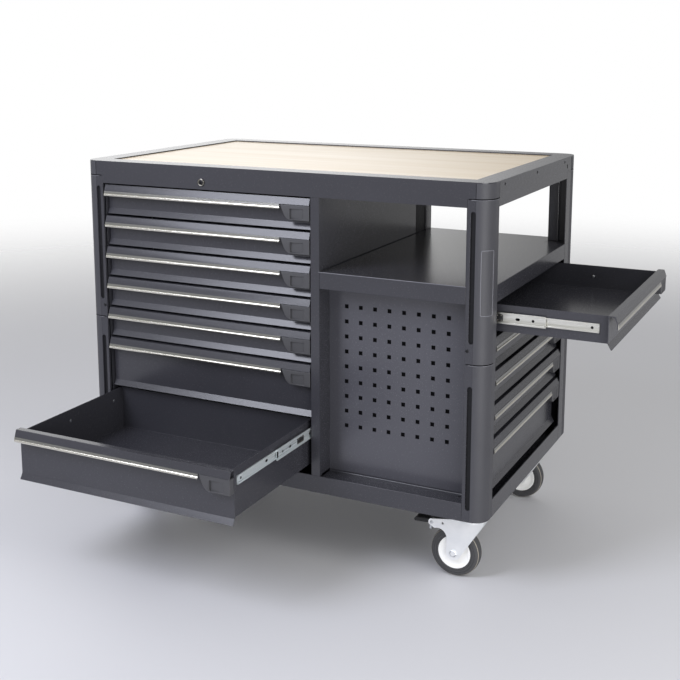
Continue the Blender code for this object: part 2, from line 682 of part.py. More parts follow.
def build_latch():
    # A pull paddle with a finger pocket, hung from its upper front edge
    depth = LIP_REACH - LATCH_BACK_GAP
    low = LATCH_TAIL_DROP - LATCH_HEIGHT
    corner = (LATCH_SLANT + LATCH_CORNER, low + LATCH_CORNER)
    slant_angle = 180 + math.degrees(math.atan2(LATCH_SLANT, -low))
    outline = ([(LATCH_WIDTH, 0.0), (0.0, 0.0)]
               + arc(corner, LATCH_CORNER, slant_angle, 270, ROUND_STEPS)
               + [(LATCH_WIDTH - LATCH_TAIL_WIDTH, low), (LATCH_WIDTH, -LATCH_HEIGHT)])
    latch = stand(prism(outline, "Y", 0.0, depth))
    pocket = block((LATCH_POCKET_LEFT, -CUT_MARGIN, low + LATCH_POCKET_EDGE),
                   (LATCH_POCKET_LEFT + LATCH_POCKET_WIDTH, LATCH_POCKET_DEPTH, -LATCH_POCKET_DROP))
    combine(latch, "DIFFERENCE", [pocket])
    return latch


def build_slide(bank, number, top, pull):
    # The middle and drawer members of the two slides of a drawer that stands open
    step = SLIDE_MEMBER + SEAT_GAP
    for name, wall, toward in (("left", bank["walls"][0], 1.0), ("right", bank["walls"][1], -1.0)):
        for member, layer, share in (("middle_slide", 1, 0.5), ("drawer_slide", 2, 1.0)):
            near = wall + toward * layer * step
            outline = slide_outline(near, near + toward * SLIDE_MEMBER)
            bar = prism(outline, "Y", SLIDE_SETBACK, SLIDE_SETBACK + SLIDE_LENGTH)
            title = f"{bank['prefix']}_{member}_{number}_{name}"
            finish(stand(bar), title, ZINC, placed(bank, top - SLIDE_DROP, share * pull), bank["turn"])


def build_bank(bank):
    last = len(bank["pitches"])
    for number, (top, pitch) in enumerate(zip(drawer_tops(bank), bank["pitches"]), 1):
        is_open = number == bank["open"]
        pull = bank["pull"] if is_open else 0.0
        gap = FRONT_GAP + (BANK_BOTTOM_GAP if number == last else 0.0)
        drawer = build_drawer(bank, pitch - gap, not is_open)
        finish(drawer, f"{bank['prefix']}_drawer_{number}", PAINT, placed(bank, top, pull), bank["turn"])
        hinge = placed(bank, top - LATCH_DROP, pull, bank["width"] - LATCH_WIDTH)
        finish(build_latch(), f"{bank['prefix']}_latch_{number}", PLASTIC, hinge, bank["turn"])
        if is_open:
            build_slide(bank, number, top, pull)


# Casters: the fork turns about its upright pin, and the wheel about its axle

def fork_outline():
    # One fork plate seen from the side, trailing to the left of the swivel pin
    foot = (-TRAIL, WHEEL_RADIUS)
    top = CROWN_TOP - SEAT_GAP
    horn = (-HORN_REACH, top - HORN_DROP)
    lower = arc(foot, FORK_FOOT_RADIUS, FORK_FOOT_START, FORK_FOOT_END, ROUND_STEPS)
    tip = arc(horn, HORN_RADIUS, HORN_TIP_START, HORN_TIP_END, ROUND_STEPS)
    arch = arc((-ARCH_REACH, top - ARCH_DROP), ARCH_RADIUS, 0, ARCH_END, ROUND_STEPS)
    return ([(FORK_TOP_REACH, top), (FORK_TOP_REACH, top - CROWN_HEIGHT)] + lower + arch + tip)


def build_fork():
    inner = WHEEL_WIDTH / 2 + FORK_GAP
    outer = inner + FORK_PLATE
    fork = stand(cylinder(CROWN_RADIUS, CROWN_TOP - CROWN_HEIGHT, CROWN_TOP, "Z", BAR_SIDES))
    plates = [prism(fork_outline(), "Y", inner, outer), prism(fork_outline(), "Y", -outer, -inner)]
    axle = cylinder(AXLE_RADIUS, -outer - AXLE_HEAD, outer + AXLE_HEAD, "Y", PIN_SIDES)
    axle = shifted(axle, (-TRAIL, 0, WHEEL_RADIUS))
    combine(fork, "UNION", plates + [axle])
    hole = cylinder(HORN_HOLE_RADIUS, -outer - CUT_MARGIN, outer + CUT_MARGIN, "Y", PIN_SIDES)
    hole = shifted(hole, (-HORN_HOLE_REACH, 0, CROWN_TOP - SEAT_GAP - HORN_HOLE_DROP))
    combine(fork, "DIFFERENCE", [hole])
    return fork


def build_wheel():
    half = WHEEL_WIDTH / 2
    dish = half - HUB_DISH
    boss_end = half + HUB_BOSS_PROUD
    boss = HUB_BORE + HUB_BOSS_WALL
    boss_foot = boss + HUB_BOSS_SLOPE
    rim = HUB_RADIUS - HUB_RIM
    hub = [(HUB_BORE, -boss_end), (boss, -boss_end), (boss_foot, -dish), (rim, -dish), (HUB_RADIUS, -half),
           (HUB_RADIUS, half), (rim, dish), (boss_foot, dish), (boss, boss_end), (HUB_BORE, boss_end)]
    seat = HUB_RADIUS + SEAT_GAP
    shoulder = WHEEL_RADIUS - TYRE_SHOULDER
    crown = WHEEL_RADIUS - TYRE_CROWN
    edge = half * TYRE_CROWN_RATIO
    tread = half * TYRE_TREAD_RATIO
    tyre = [(seat, -half), (shoulder, -half), (crown, -edge), (WHEEL_RADIUS, -tread),
            (WHEEL_RADIUS, tread), (crown, edge), (shoulder, half), (seat, half)]
    return stand(turned(hub, WHEEL_SIDES)), stand(turned(tyre, WHEEL_SIDES))


def build_pedal():
    # A foot lever held between the fork's horns by its pin, with a heel that reaches back over the tyre
    tip = (-PEDAL_LENGTH, -PEDAL_DROP)
    half = PEDAL_THICKNESS / 2
    outline = ([(half, half)] + [(tip[0] + half, tip[1] + half)]
               + arc(tip, half, PEDAL_TIP_START, PEDAL_TIP_END, PEDAL_TIP_STEPS) + [(half, -half)])
    lever = stand(prism(outline, "Y", -PEDAL_WIDTH / 2, PEDAL_WIDTH / 2))
    heel = [(-HEEL_ROOT, -HEEL_ROOT), (HEEL_LENGTH, HEEL_TOP - HEEL_THICKNESS), (HEEL_LENGTH, HEEL_TOP),
            (-HEEL_ROOT, HEEL_TOP)]
    combine(lever, "UNION", [prism(heel, "Y", -PEDAL_WIDTH / 2, PEDAL_WIDTH / 2)])
    inner = WHEEL_WIDTH / 2 + FORK_GAP - SEAT_GAP
    combine(lever, "UNION", [cylinder(PEDAL_PIN_RADIUS, -inner, inner, "Y", PIN_SIDES)])
    return lever


def build_casters():
    # Each wheel trails in under the bench, so the left forks are turned half round
    for name, (x, y) in caster_places().items():
        turn = math.pi if name.endswith("left") else 0.0
        inward = math.cos(turn)
        finish(build_fork(), f"{name}_fork", ZINC, (x, y, 0), turn)
        hub, tyre = build_wheel()
        axle = (x - TRAIL * inward, y, WHEEL_RADIUS)
        finish(hub, f"{name}_hub", ZINC, axle)
        finish(tyre, f"{name}_tyre", RUBBER, axle)
        if name.startswith("front"):
            pin = (x - HORN_REACH * inward, y, CROWN_TOP - SEAT_GAP - HORN_DROP)
            finish(build_pedal(), f"{name}_pedal", BLACK, pin, turn)


for old in list(bpy.data.objects):
    bpy.data.objects.remove(old)

parts = bpy.data.collections.new("mobile_workbench")
bpy.context.scene.collection.children.link(parts)
bench = bpy.data.objects.new("bench_origin", None)
bench.location = (-ORIGIN_X, -ORIGIN_Y, 0.0)
parts.objects.link(bench)

front_bank = make_bank("front")
side_bank = make_bank("side")
build_top()
build_post("front_left_post", False, False, POST_SIDE)
build_post("front_right_post", True, False, POST_SIDE)
build_post("rear_left_post", False, True, POST_SIDE)
build_post("rear_right_post", True, True, POST_SIDE + REAR_LEAF)
build_base()
build_walls(front_bank, side_bank)
build_shelf()
build_perforated_panel(side_bank)
build_lock()
build_bank(front_bank)
build_bank(side_bank)
build_casters()
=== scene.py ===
import json
import math

import bmesh
import bpy
import numpy as np
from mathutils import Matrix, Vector


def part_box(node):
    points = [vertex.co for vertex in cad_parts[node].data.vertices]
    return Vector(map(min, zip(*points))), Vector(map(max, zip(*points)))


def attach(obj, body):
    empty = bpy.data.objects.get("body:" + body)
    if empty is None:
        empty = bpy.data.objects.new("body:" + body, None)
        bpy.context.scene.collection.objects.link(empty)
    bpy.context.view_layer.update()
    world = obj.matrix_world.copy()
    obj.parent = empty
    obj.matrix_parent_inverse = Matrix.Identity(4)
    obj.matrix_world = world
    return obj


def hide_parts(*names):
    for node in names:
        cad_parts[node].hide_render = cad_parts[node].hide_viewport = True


# Looks of the mobile workbench: painted steel, plywood, aluminium pull strips, zinc slides and casters.
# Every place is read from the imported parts, in metres, +X right along the front, +Y back, +Z up.
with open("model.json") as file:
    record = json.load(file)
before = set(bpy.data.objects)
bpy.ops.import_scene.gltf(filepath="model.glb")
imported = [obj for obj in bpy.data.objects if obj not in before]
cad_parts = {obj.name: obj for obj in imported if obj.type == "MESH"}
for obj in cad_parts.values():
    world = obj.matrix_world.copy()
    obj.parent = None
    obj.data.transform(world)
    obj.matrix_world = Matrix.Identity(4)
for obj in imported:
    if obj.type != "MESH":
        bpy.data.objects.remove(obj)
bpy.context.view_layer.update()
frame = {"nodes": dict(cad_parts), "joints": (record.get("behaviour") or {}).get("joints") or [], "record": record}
bodyOf = {node: body for body, nodes in frame["record"]["behaviour"]["bodies"].items() for node in nodes}
jointAt = {joint["name"]: np.array(joint["pos_m"]) for joint in frame["joints"] if "pos_m" in joint}
corners = ("front_left", "front_right", "rear_left", "rear_right")
drawers = [node for node in frame["nodes"] if "_drawer_" in node and "slide" not in node]
latches = [node for node in frame["nodes"] if "_latch_" in node]
rimLow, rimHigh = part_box("top_frame")
left, front, right, back, top = rimLow.x, rimLow.y, rimHigh.x, rimHigh.y, rimHigh.z
baseLow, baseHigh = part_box("base_tray")
shelfLow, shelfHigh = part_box("shelf_tray")
panelLow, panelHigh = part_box("perforated_panel")
hairGap = 0.0003  # the sink of a small foot, the rise of a dark pad and the gap between two sheets
axisX, axisY, axisZ = np.eye(3)
print("frame loaded:", len(frame["nodes"]), "parts")


# Helpers for materials

noiseSpan = (0.3, 0.7)  # nearly all values of a noise lie in this span


def linear(hexColour):
    # sRGB hex to the linear colour that the shader wants
    values = [int(hexColour[i:i + 2], 16) / 255 for i in (1, 3, 5)]
    return tuple(v / 12.92 if v <= 0.04045 else ((v + 0.055) / 1.055) ** 2.4 for v in values) + (1.0,)


def perMm(size):
    # texture scale that makes features about this many millimetres wide
    return 1000.0 / size


def addNode(tree, kind, settings=None, inputs=None, links=None):
    # one node with its settings, its fixed inputs and the sockets that feed it
    node = tree.nodes.new(kind)
    for name, value in (settings or {}).items():
        setattr(node, name, value)
    for name, value in (inputs or {}).items():
        node.inputs[name].default_value = value
    for name, source in (links or {}).items():
        tree.links.new(source, node.inputs[name])
    return node


def startMaterial(name, inputs):
    made = bpy.data.materials.new(name)
    made.use_nodes = True
    tree = made.node_tree
    for socket, value in inputs.items():
        tree.nodes["Principled BSDF"].inputs[socket].default_value = value
    return made, tree, addNode(tree, "ShaderNodeTexCoord").outputs["Object"]


def closeMaterial(made, colour, grain, grainSpan, roughSpan, strength, depth):
    # roughness and bump follow the grain, and go into the shader with the colour
    tree = made.node_tree
    shader = tree.nodes["Principled BSDF"]
    rough = addNode(tree, "ShaderNodeMapRange", None,
                    {"From Min": grainSpan[0], "From Max": grainSpan[1], "To Min": roughSpan[0],
                     "To Max": roughSpan[1]}, {"Value": grain})
    bump = addNode(tree, "ShaderNodeBump", None, {"Strength": strength, "Distance": depth}, {"Height": grain})
    tree.links.new(colour.outputs[2], shader.inputs["Base Color"])
    tree.links.new(rough.outputs["Result"], shader.inputs["Roughness"])
    tree.links.new(bump.outputs["Normal"], shader.inputs["Normal"])
    return made


def streaks(tree, place, sizeMm, detail):
    # noise whose features have this size along X, Y and Z
    drawn = addNode(tree, "ShaderNodeMapping", None, {"Scale": tuple(perMm(size) for size in sizeMm)},
                    {"Vector": place})
    return addNode(tree, "ShaderNodeTexNoise", None, {"Scale": 1.0, "Detail": detail},
                   {"Vector": drawn.outputs["Vector"]}).outputs["Fac"]


# Satin powder coat on folded steel: an even dark grey with a fine orange peel that softens the lights in it
powderLook = {"dark": "#323237", "light": "#3c3c42", "cloudMm": 260.0, "peelMm": 2.4, "rough": (0.20, 0.28),
              "peelDepth": 0.00006, "peelStrength": 0.2}


def powderCoat(name, **changes):
    look = {**powderLook, **changes}
    made, tree, place = startMaterial(name, {"IOR": 1.5, "Metallic": 0.0})
    cloud = addNode(tree, "ShaderNodeTexNoise", None, {"Scale": perMm(look["cloudMm"]), "Detail": 4.0},
                    {"Vector": place})
    # the peel is about 1 mm on the real coat and is drawn coarser so that it shows
    peel = addNode(tree, "ShaderNodeTexNoise", None, {"Scale": perMm(look["peelMm"]), "Detail": 2.0},
                   {"Vector": place}).outputs["Fac"]
    colour = addNode(tree, "ShaderNodeMix", {"data_type": "RGBA"},
                     {6: linear(look["dark"]), 7: linear(look["light"])}, {0: cloud.outputs["Fac"]})
    return closeMaterial(made, colour, peel, noiseSpan, look["rough"], look["peelStrength"],
                         look["peelDepth"])


# Lacquered birch plywood: pale face veneer with fine long grain, small pores and a thin clear film
plyLook = {"pale": "#e0d0b6", "grain": "#d0ba95", "pore": "#b39a76",
           "figureMm": (900.0, 60.0, 60.0), "lineMm": (520.0, 7.0, 7.0), "poreMm": (26.0, 1.6, 1.6),
           "grainSpan": (0.72, 1.28), "poreSpan": (0.66, 0.78), "poreShare": 0.35, "rough": (0.26, 0.36),
           "depth": 0.00015}


def birchPlywood(name):
    made, tree, place = startMaterial(name, {"IOR": 1.5, "Coat Weight": 0.15, "Coat Roughness": 0.16})
    # figure, lines and pores all run along X, the way the face veneer lies
    figure = streaks(tree, place, plyLook["figureMm"], 3.0)
    lines = streaks(tree, place, plyLook["lineMm"], 5.0)
    pores = streaks(tree, place, plyLook["poreMm"], 1.0)
    both = addNode(tree, "ShaderNodeMath", {"operation": "ADD"}, None, {0: figure, 1: lines}).outputs[0]
    share = addNode(tree, "ShaderNodeMapRange", None,
                    {"From Min": plyLook["grainSpan"][0], "From Max": plyLook["grainSpan"][1]},
                    {"Value": both})
    wood = addNode(tree, "ShaderNodeMix", {"data_type": "RGBA"},
                   {6: linear(plyLook["pale"]), 7: linear(plyLook["grain"])}, {0: share.outputs["Result"]})
    spots = addNode(tree, "ShaderNodeMapRange", None,
                    {"From Min": plyLook["poreSpan"][0], "From Max": plyLook["poreSpan"][1],
                     "To Max": plyLook["poreShare"]}, {"Value": pores})
    colour = addNode(tree, "ShaderNodeMix", {"data_type": "RGBA"}, {7: linear(plyLook["pore"])},
                     {0: spots.outputs["Result"], 6: wood.outputs[2]})
    return closeMaterial(made, colour, lines, (0.0, 1.0), plyLook["rough"], 0.25, plyLook["depth"])


# Metals with a drawn or plated surface: streaks along one axis, or an even fine mottle
def platedMetal(name, dark, light, metallic, rough, streakMm, depth):
    made, tree, place = startMaterial(name, {"Metallic": metallic})
    grain = streaks(tree, place, streakMm, 4.0)
    share = addNode(tree, "ShaderNodeMapRange", None, {"From Min": noiseSpan[0], "From Max": noiseSpan[1]},
                    {"Value": grain})
    colour = addNode(tree, "ShaderNodeMix", {"data_type": "RGBA"}, {6: linear(dark), 7: linear(light)},
                     {0: share.outputs["Result"]})
    return closeMaterial(made, colour, grain, noiseSpan, rough, 0.3, depth)


def drawnAluminium(name, dark, light, rough, lengthMm, widthMm, depth):
    # the lines run with the strip: along X on the front drawers, along Y on the side ones
    runs = {"front": ("x", (lengthMm, widthMm, widthMm)), "side": ("y", (widthMm, lengthMm, widthMm))}
    return {bank: platedMetal(name + "_along_" + axis, dark, light, 1.0, rough, streakMm, depth)
            for bank, (axis, streakMm) in runs.items()}


# Moulded plastics and rubber: a sparked or matt skin with faint mottling and no metal in it
def mouldedSkin(name, dark, light, rough, grainMm, depth, shine=0.5):
    made, tree, place = startMaterial(name, {"IOR": 1.5, "Metallic": 0.0, "Specular IOR Level": shine})
    grain = addNode(tree, "ShaderNodeTexNoise", None, {"Scale": perMm(grainMm), "Detail": 3.0},
                    {"Vector": place}).outputs["Fac"]
    colour = addNode(tree, "ShaderNodeMix", {"data_type": "RGBA"}, {6: linear(dark), 7: linear(light)},
                     {0: grain})
    return closeMaterial(made, colour, grain, noiseSpan, rough, 0.5, depth)


paint = powderCoat("satin_powder_coat_anthracite")
# The perforated panel's coat is a shade lighter than the rest: a painted reflection of the pale floor in the panel
panelReflectionPaint = powderCoat("satin_powder_coat_panel_painted_reflection", dark="#45454b", light="#4f4f56")
# Fine textured coat of the corner covers: the same grey, dull enough to spread every light over the round
coverPaint = powderCoat("textured_powder_coat_covers", dark="#39393e", light="#434348", rough=(0.46, 0.56))
# A paler copy of the same coat on narrow ridges and rolled edges: a painted highlight along each line
highlightPaint = powderCoat("powder_coat_painted_highlight", dark="#606066", light="#6f6f75")
plywood = birchPlywood("birch_plywood_clear_lacquer")
# Anodised aluminium drawn along its length with faint lines; this darker copy on the strip's upper face is a
# painted darker reflection
stripDarkReflectionAluminium = drawnAluminium("matt_anodised_aluminium", "#9b9b98", "#acaca9", (0.16, 0.22), 160.0, 1.2,
                               0.00004)
# A brighter copy of the same aluminium on the bead: a painted bright reflection
stripBrightReflectionAluminium = drawnAluminium("bright_aluminium", "#c9c6bc", "#dedbd1", (0.18, 0.28), 220.0, 1.6, 0.00003)
# Bright zinc plate on rolled steel: bluish white with a slight mottle
zinc = platedMetal("bright_zinc_plate", "#c6c9cc", "#e6e8ea", 1.0, (0.22, 0.38), (9.0, 9.0, 9.0), 0.00005)
# The same plate on drawn slide strip: even, with faint lines along its length, warmer on the side drawers
slideZinc = {"front": platedMetal("drawn_zinc_strip_along_y", "#d4dcdf", "#e8eef0", 0.6, (0.26, 0.34),
                                  (2.5, 180.0, 2.5), 0.00002),
             "side": platedMetal("drawn_zinc_strip_along_x", "#d9d8d0", "#ebeae3", 1.0, (0.26, 0.34),
                                 (180.0, 2.5, 2.5), 0.00002)}
# Pressed fork steel under white zinc: almost white, with a soft sheen
whiteZinc = platedMetal("white_zinc_pressed_steel", "#eceef0", "#f7f8f9", 0.5, (0.34, 0.4),
                        (30.0, 30.0, 30.0), 0.00003)
# Nickel plate on brass: warm bright metal, nearly smooth
nickel = platedMetal("nickel_plated_brass", "#77746e", "#98958d", 1.0, (0.22, 0.32), (4.0, 4.0, 4.0), 0.00002)
# Black oxide steel for screws: dark, dull shine
oxide = platedMetal("black_oxide_steel", "#222224", "#343437", 0.8, (0.35, 0.5), (3.0, 3.0, 3.0), 0.00003)
# Glass filled polyamide: dark grey with a fine sparked skin
latchPlastic = mouldedSkin("sparked_grey_polyamide", "#3d3d40", "#47474a", (0.46, 0.56), 1.4, 0.0001)
# White polyamide hub: slightly warm, half matt
hubPlastic = mouldedSkin("white_polyamide", "#f0f0ee", "#fafaf8", (0.4, 0.5), 3.0, 0.00005)
# Grey rubber tyre: matt with a dusty bloom
rubber = mouldedSkin("grey_rubber", "#3d3d3f", "#4a4a4c", (0.66, 0.8), 5.0, 0.0002)
# Mould line at each edge of the tread, rubbed paler by the floor
treadRubber = mouldedSkin("worn_tread_rubber", "#8f897e", "#aaa397", (0.8, 0.92), 4.0, 0.0003)
# Black pedal plastic with a coarse moulded skin
blackPlastic = mouldedSkin("black_polyamide", "#131314", "#1d1d1f", (0.4, 0.55), 1.6, 0.00012)
# Floor of the post slots and the divider's rear gap: a dark, dull coat that is painted shade of these recesses
recessShadePaint = mouldedSkin("painted_recess_shade", "#18181a", "#222225", (0.5, 0.62), 8.0, 0.00005, 0.15)
# The dark of an open joint between two sheets
shadowGap = mouldedSkin("joint_shadow", "#09090a", "#0f0f10", (0.85, 0.95), 6.0, 0.00005, 0.0)
print("materials made:", len(bpy.data.materials))


# Helpers for pieces

def fullTurn(steps):
    return np.linspace(0.0, 2 * math.pi, steps, endpoint=False)


def quarterTurn(steps):
    return np.linspace(0.0, math.pi / 2, steps)


def circle(turn):
    return np.stack([np.cos(turn), np.sin(turn)], -1)


def addObject(name, data):
    item = bpy.data.objects.new(name, data)
    bpy.context.scene.collection.objects.link(item)
    return item


def skinFaces(rows, columns, closeRows, capEnds):
    # quads between neighbours of a grid whose rows are rings, with flat caps on the first and last row
    index = np.arange(rows * columns).reshape(rows, columns)
    caps = [index[0][::-1].tolist(), index[-1].tolist()] if capEnds else []
    if closeRows:
        index = np.vstack([index, index[:1]])
    index = np.hstack([index, index[:, :1]])
    quads = np.stack([index[:-1, :-1], index[:-1, 1:], index[1:, 1:], index[1:, :-1]], -1)
    return quads.reshape(-1, 4).tolist() + caps


def makePiece(name, grids, finish, body="cabinet", closeRows=False, capEnds=True,
              smoothAngle=40.0):
    # every grid is (rows, columns, 3) and becomes one closed skin over its points; seams and poles are
    # welded, faces turned outwards, and the piece is hung on its body
    grids = np.array(grids)
    copies, rows, columns = grids.shape[:3]
    faces = skinFaces(rows, columns, closeRows, capEnds and not closeRows)
    offsets = np.arange(copies) * rows * columns
    allFaces = [[corner + offset for corner in face] for offset in offsets.tolist() for face in faces]
    mesh = bpy.data.meshes.new(name)
    mesh.from_pydata(grids.reshape(-1, 3).tolist(), [], allFaces)
    work = bmesh.new()
    work.from_mesh(mesh)
    bmesh.ops.remove_doubles(work, verts=work.verts, dist=1e-6)
    bmesh.ops.recalc_face_normals(work, faces=work.faces)
    work.to_mesh(mesh)
    work.free()
    mesh.materials.append(finish)
    mesh.shade_smooth()
    mesh.set_sharp_from_angle(angle=math.radians(smoothAngle))
    piece = addObject(name, mesh)
    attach(piece, body)
    return piece


def turnedGrid(profile, centre, axis, steps):
    # a profile of (radius, along) points carried round an axis:
    # p = centre + along*axis + radius*(a cos t + b sin t)
    axis = np.array(axis, float)
    side = np.array([1.0, 0.0, 0.0]) if abs(axis[0]) < 0.5 else np.array([0.0, 0.0, 1.0])
    other = np.cross(axis, side)
    turn = fullTurn(steps)
    ring = np.cos(turn)[:, None] * side + np.sin(turn)[:, None] * other
    profile = np.array(profile, float)
    return (np.array(centre, float) + profile[:, 1, None, None] * axis
            + profile[:, 0, None, None] * ring[None, :, :])


def domeProfile(radius, height):
    # a low domed head on a flat foot that sits a little in the sheet
    return [(0.0, height), (radius * 0.6, height * 0.85), (radius * 0.92, height * 0.4), (radius, -hairGap),
            (0.0, -hairGap)]


def padGrid(centre, normal, across, halfAcross, halfUp, lift, corner=None):
    # a low closed pad with a rounded outline: (u, v) = share*(sign(c)*(half - r) + r*c), c = (cos t, sin t)
    normal, across = np.array(normal, float), np.array(across, float)
    upward = np.cross(normal, across)
    radius = min(halfAcross, halfUp) if corner is None else corner
    turn = np.radians(np.arange(5.0, 365.0, 10.0))
    u = np.sign(np.cos(turn)) * (halfAcross - radius) + radius * np.cos(turn)
    v = np.sign(np.sin(turn)) * (halfUp - radius) + radius * np.sin(turn)
    outline = u[:, None] * across + v[:, None] * upward
    share = np.array([0.0, 0.5, 0.85, 1.0, 1.0, 0.0])[:, None, None]
    rise = np.array([1.0, 0.95, 0.7, 0.2, -1.0, -1.0])[:, None, None] * lift
    return np.array(centre, float) + share * outline[None] + rise * normal


def carried(section, ends, start=np.zeros(3), along=axisX, out=axisY, up=axisZ):
    # a section of (d, h) points carried from one end to the other: p = start + end*along + d*out + h*up
    ends = np.array(ends)[:, None, None]
    return start + ends * along + section[None, :, :1] * out + section[None, :, 1:] * up


def foldedSheet(name, outline, low, high):
    # a painted sheet with folds: its outline in plan carried up from one height to another
    levels = [np.column_stack([outline, np.full(len(outline), z)]) for z in (low, high)]
    makePiece(name, [levels], paint, smoothAngle=50.0)


def atCorner(corner, inX, inY):
    # a place in plan, measured inwards from the bench's outer faces at one of its corners
    x = left + inX if corner.endswith("left") else right - inX
    y = front + inY if corner.startswith("front") else back - inY
    return x, y


# Rounding of a part's edges: weld distance in metres, and the angles that count as flat and as an edge
softening = {"weld": 1e-5, "flatAngle": 1.0, "edgeAngle": 25.0, "segments": 2}


def softened(node, width, finish=paint, faceWeight=100, cutRims=True):
    # a welded copy of a part with its sharp edges rounded, which stands for the part
    work = bmesh.new()
    work.from_mesh(frame["nodes"][node].data)
    bmesh.ops.remove_doubles(work, verts=work.verts, dist=softening["weld"])
    bmesh.ops.dissolve_limit(work, angle_limit=math.radians(softening["flatAngle"]), verts=work.verts,
                             edges=work.edges)
    # narrow rims that run round a corner are cut into convex faces, which the bevel keeps whole
    if cutRims:
        bmesh.ops.connect_verts_concave(work, faces=work.faces)
    mesh = bpy.data.meshes.new(node + "_skin")
    work.to_mesh(mesh)
    work.free()
    for spare in [item.name for item in mesh.attributes if item.name == "custom_normal"]:
        mesh.attributes.remove(mesh.attributes[spare])
    mesh.materials.clear()
    mesh.materials.append(finish)
    mesh.shade_smooth()
    piece = addObject(node + "_skin", mesh)
    bevel = piece.modifiers.new("Edges", "BEVEL")
    bevel.width = width
    bevel.segments = softening["segments"]
    bevel.limit_method = "ANGLE"
    bevel.angle_limit = math.radians(softening["edgeAngle"])
    bevel.use_clamp_overlap = True
    bevel.miter_outer = "MITER_ARC"
    normals = piece.modifiers.new("Normals", "WEIGHTED_NORMAL")
    normals.keep_sharp = False
    normals.weight = faceWeight
    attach(piece, bodyOf[node])
    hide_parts(node)


# Painted parts with rolled edges, and plain parts that only take a finish
edgeRadius = {"top_frame": 0.0022, "base_tray": 0.0012, "shelf_tray": 0.0014, "left_side_panel": 0.0008,
              "back_panel": 0.0006, "post": 0.0008, "drawer": 0.0006, "fork": 0.0011, "pedal": 0.0014}
plainFinish = {"worktop_board": plywood, "divider_wall": paint, "perforated_panel": panelReflectionPaint}
for node in ("top_frame", "base_tray", "shelf_tray", "left_side_panel", "back_panel"):
    softened(node, edgeRadius[node])
for corner in corners:
    softened(corner + "_post", edgeRadius["post"], faceWeight=50, cutRims=False)
    softened(corner + "_fork", edgeRadius["fork"], whiteZinc, cutRims=False)
for drawer in drawers:
    softened(drawer, edgeRadius["drawer"])
for corner in ("front_left", "front_right"):
    softened(corner + "_pedal", edgeRadius["pedal"], blackPlastic)
for node, finish in plainFinish.items():
    frame["nodes"][node].data.materials.clear()
    frame["nodes"][node].data.materials.append(finish)
print("parts finished:", len(drawers), "drawers,", len(latches), "latches")


# Pull strips: an aluminium section with a sloped upper face and a round bead below, along each drawer's nose
strip = {"topDrop": 0.0166, "faceDrop": 0.0222, "faceIn": 0.0008, "faceOut": 0.0019, "beadDrop": 0.0262,
         "beadOut": 0.0031, "beadHalf": 0.0037, "beadTurn": (64.0, -100.0), "seat": 0.0001, "endGap": 0.0012,
         "beadSteps": 14}


def stripSection():
    # upper face as a straight run, then the bead as part of an ellipse, then straight back up behind
    turn = np.radians(np.linspace(*strip["beadTurn"], strip["beadSteps"]))
    face = np.array([[strip["seat"], -strip["topDrop"]], [strip["faceIn"], -strip["topDrop"]],
                     [strip["faceOut"], -strip["faceDrop"]]])
    bead = circle(turn) * (strip["beadOut"], strip["beadHalf"]) - (0.0, strip["beadDrop"])
    bead[:, 0] = np.maximum(bead[:, 0], strip["seat"])
    return np.vstack([face, bead])


def bankOf(node):
    return "front" if node.startswith("front") else "side"


def fasciaFrame(node):
    # a front's own axes: its upper left corner, then along it to the right, up, and out towards the user
    low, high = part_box(node)
    if bankOf(node) == "front":
        return np.array((low.x, low.y, high.z)), axisX, axisZ, -axisY, high.x - low.x
    return np.array((high.x, low.y, high.z)), axisY, axisZ, axisX, high.y - low.y


def pullStrip(drawer):
    # the section carried along the front from its left end to the latch, with the bead in the brighter copy of the
    # aluminium, a painted reflection
    corner, along, up, out, width = fasciaFrame(drawer)
    latchWidth = fasciaFrame(drawer.replace("_drawer_", "_latch_"))[4]
    ends = (strip["endGap"] / 2, width - latchWidth - strip["endGap"])
    points = carried(stripSection(), ends, corner, along, out, up)
    piece = makePiece(drawer + "_strip", [points], stripDarkReflectionAluminium[bankOf(drawer)], drawer,
                      smoothAngle=30.0)
    piece.data.materials.append(stripBrightReflectionAluminium[bankOf(drawer)])
    heights = np.array([face.center.z for face in piece.data.polygons])
    # the faces below the upper face form the bead and take the brighter copy: painted reflection
    onBead = heights < corner[2] - strip["faceDrop"]
    piece.data.polygons.foreach_set("material_index", onBead.astype(np.int32))


# Slide rivets: two bright heads on the inside of each drawer wall, at the height of its slides
rivet = {"depths": (0.190, 0.367), "drop": 0.034, "walls": {"front": (0.013, 0.011), "side": (0.019, 0.011)},
         "radius": 0.0042, "height": 0.0013, "steps": 20}


def slideRivets(drawer):
    # domes on the two walls, each measured from its own end of the front and turned to the other wall
    corner, along, up, out, width = fasciaFrame(drawer)
    leftIn, rightIn = rivet["walls"][bankOf(drawer)]
    dome = domeProfile(rivet["radius"], rivet["height"])
    heads = [turnedGrid(dome, corner + place * along - depth * out - rivet["drop"] * up, way * along,
                        rivet["steps"])
             for place, way in ((leftIn, 1.0), (width - rightIn, -1.0)) for depth in rivet["depths"]]
    makePiece(drawer + "_rivets", heads, zinc, drawer, capEnds=False)


for drawer in drawers:
    pullStrip(drawer)
    slideRivets(drawer)
print("pull strips and slide rivets made")


# Latches: a grey paddle with a slanted left edge, a round lower corner and a finger pocket that is deepest
# at its left
paddle = {"slant": 0.016, "cornerReach": 0.012, "cornerStart": 0.62, "footGap": 0.006, "edgeRadius": 0.0013,
          "pocketLeft": 0.027, "pocketRight": 0.063, "pocketTop": 0.0095, "pocketFoot": 0.0340,
          "pocketDeep": 0.0046, "pocketShallow": 0.0008, "ramp": 0.0005, "back": 0.0180, "crown": 0.0010}
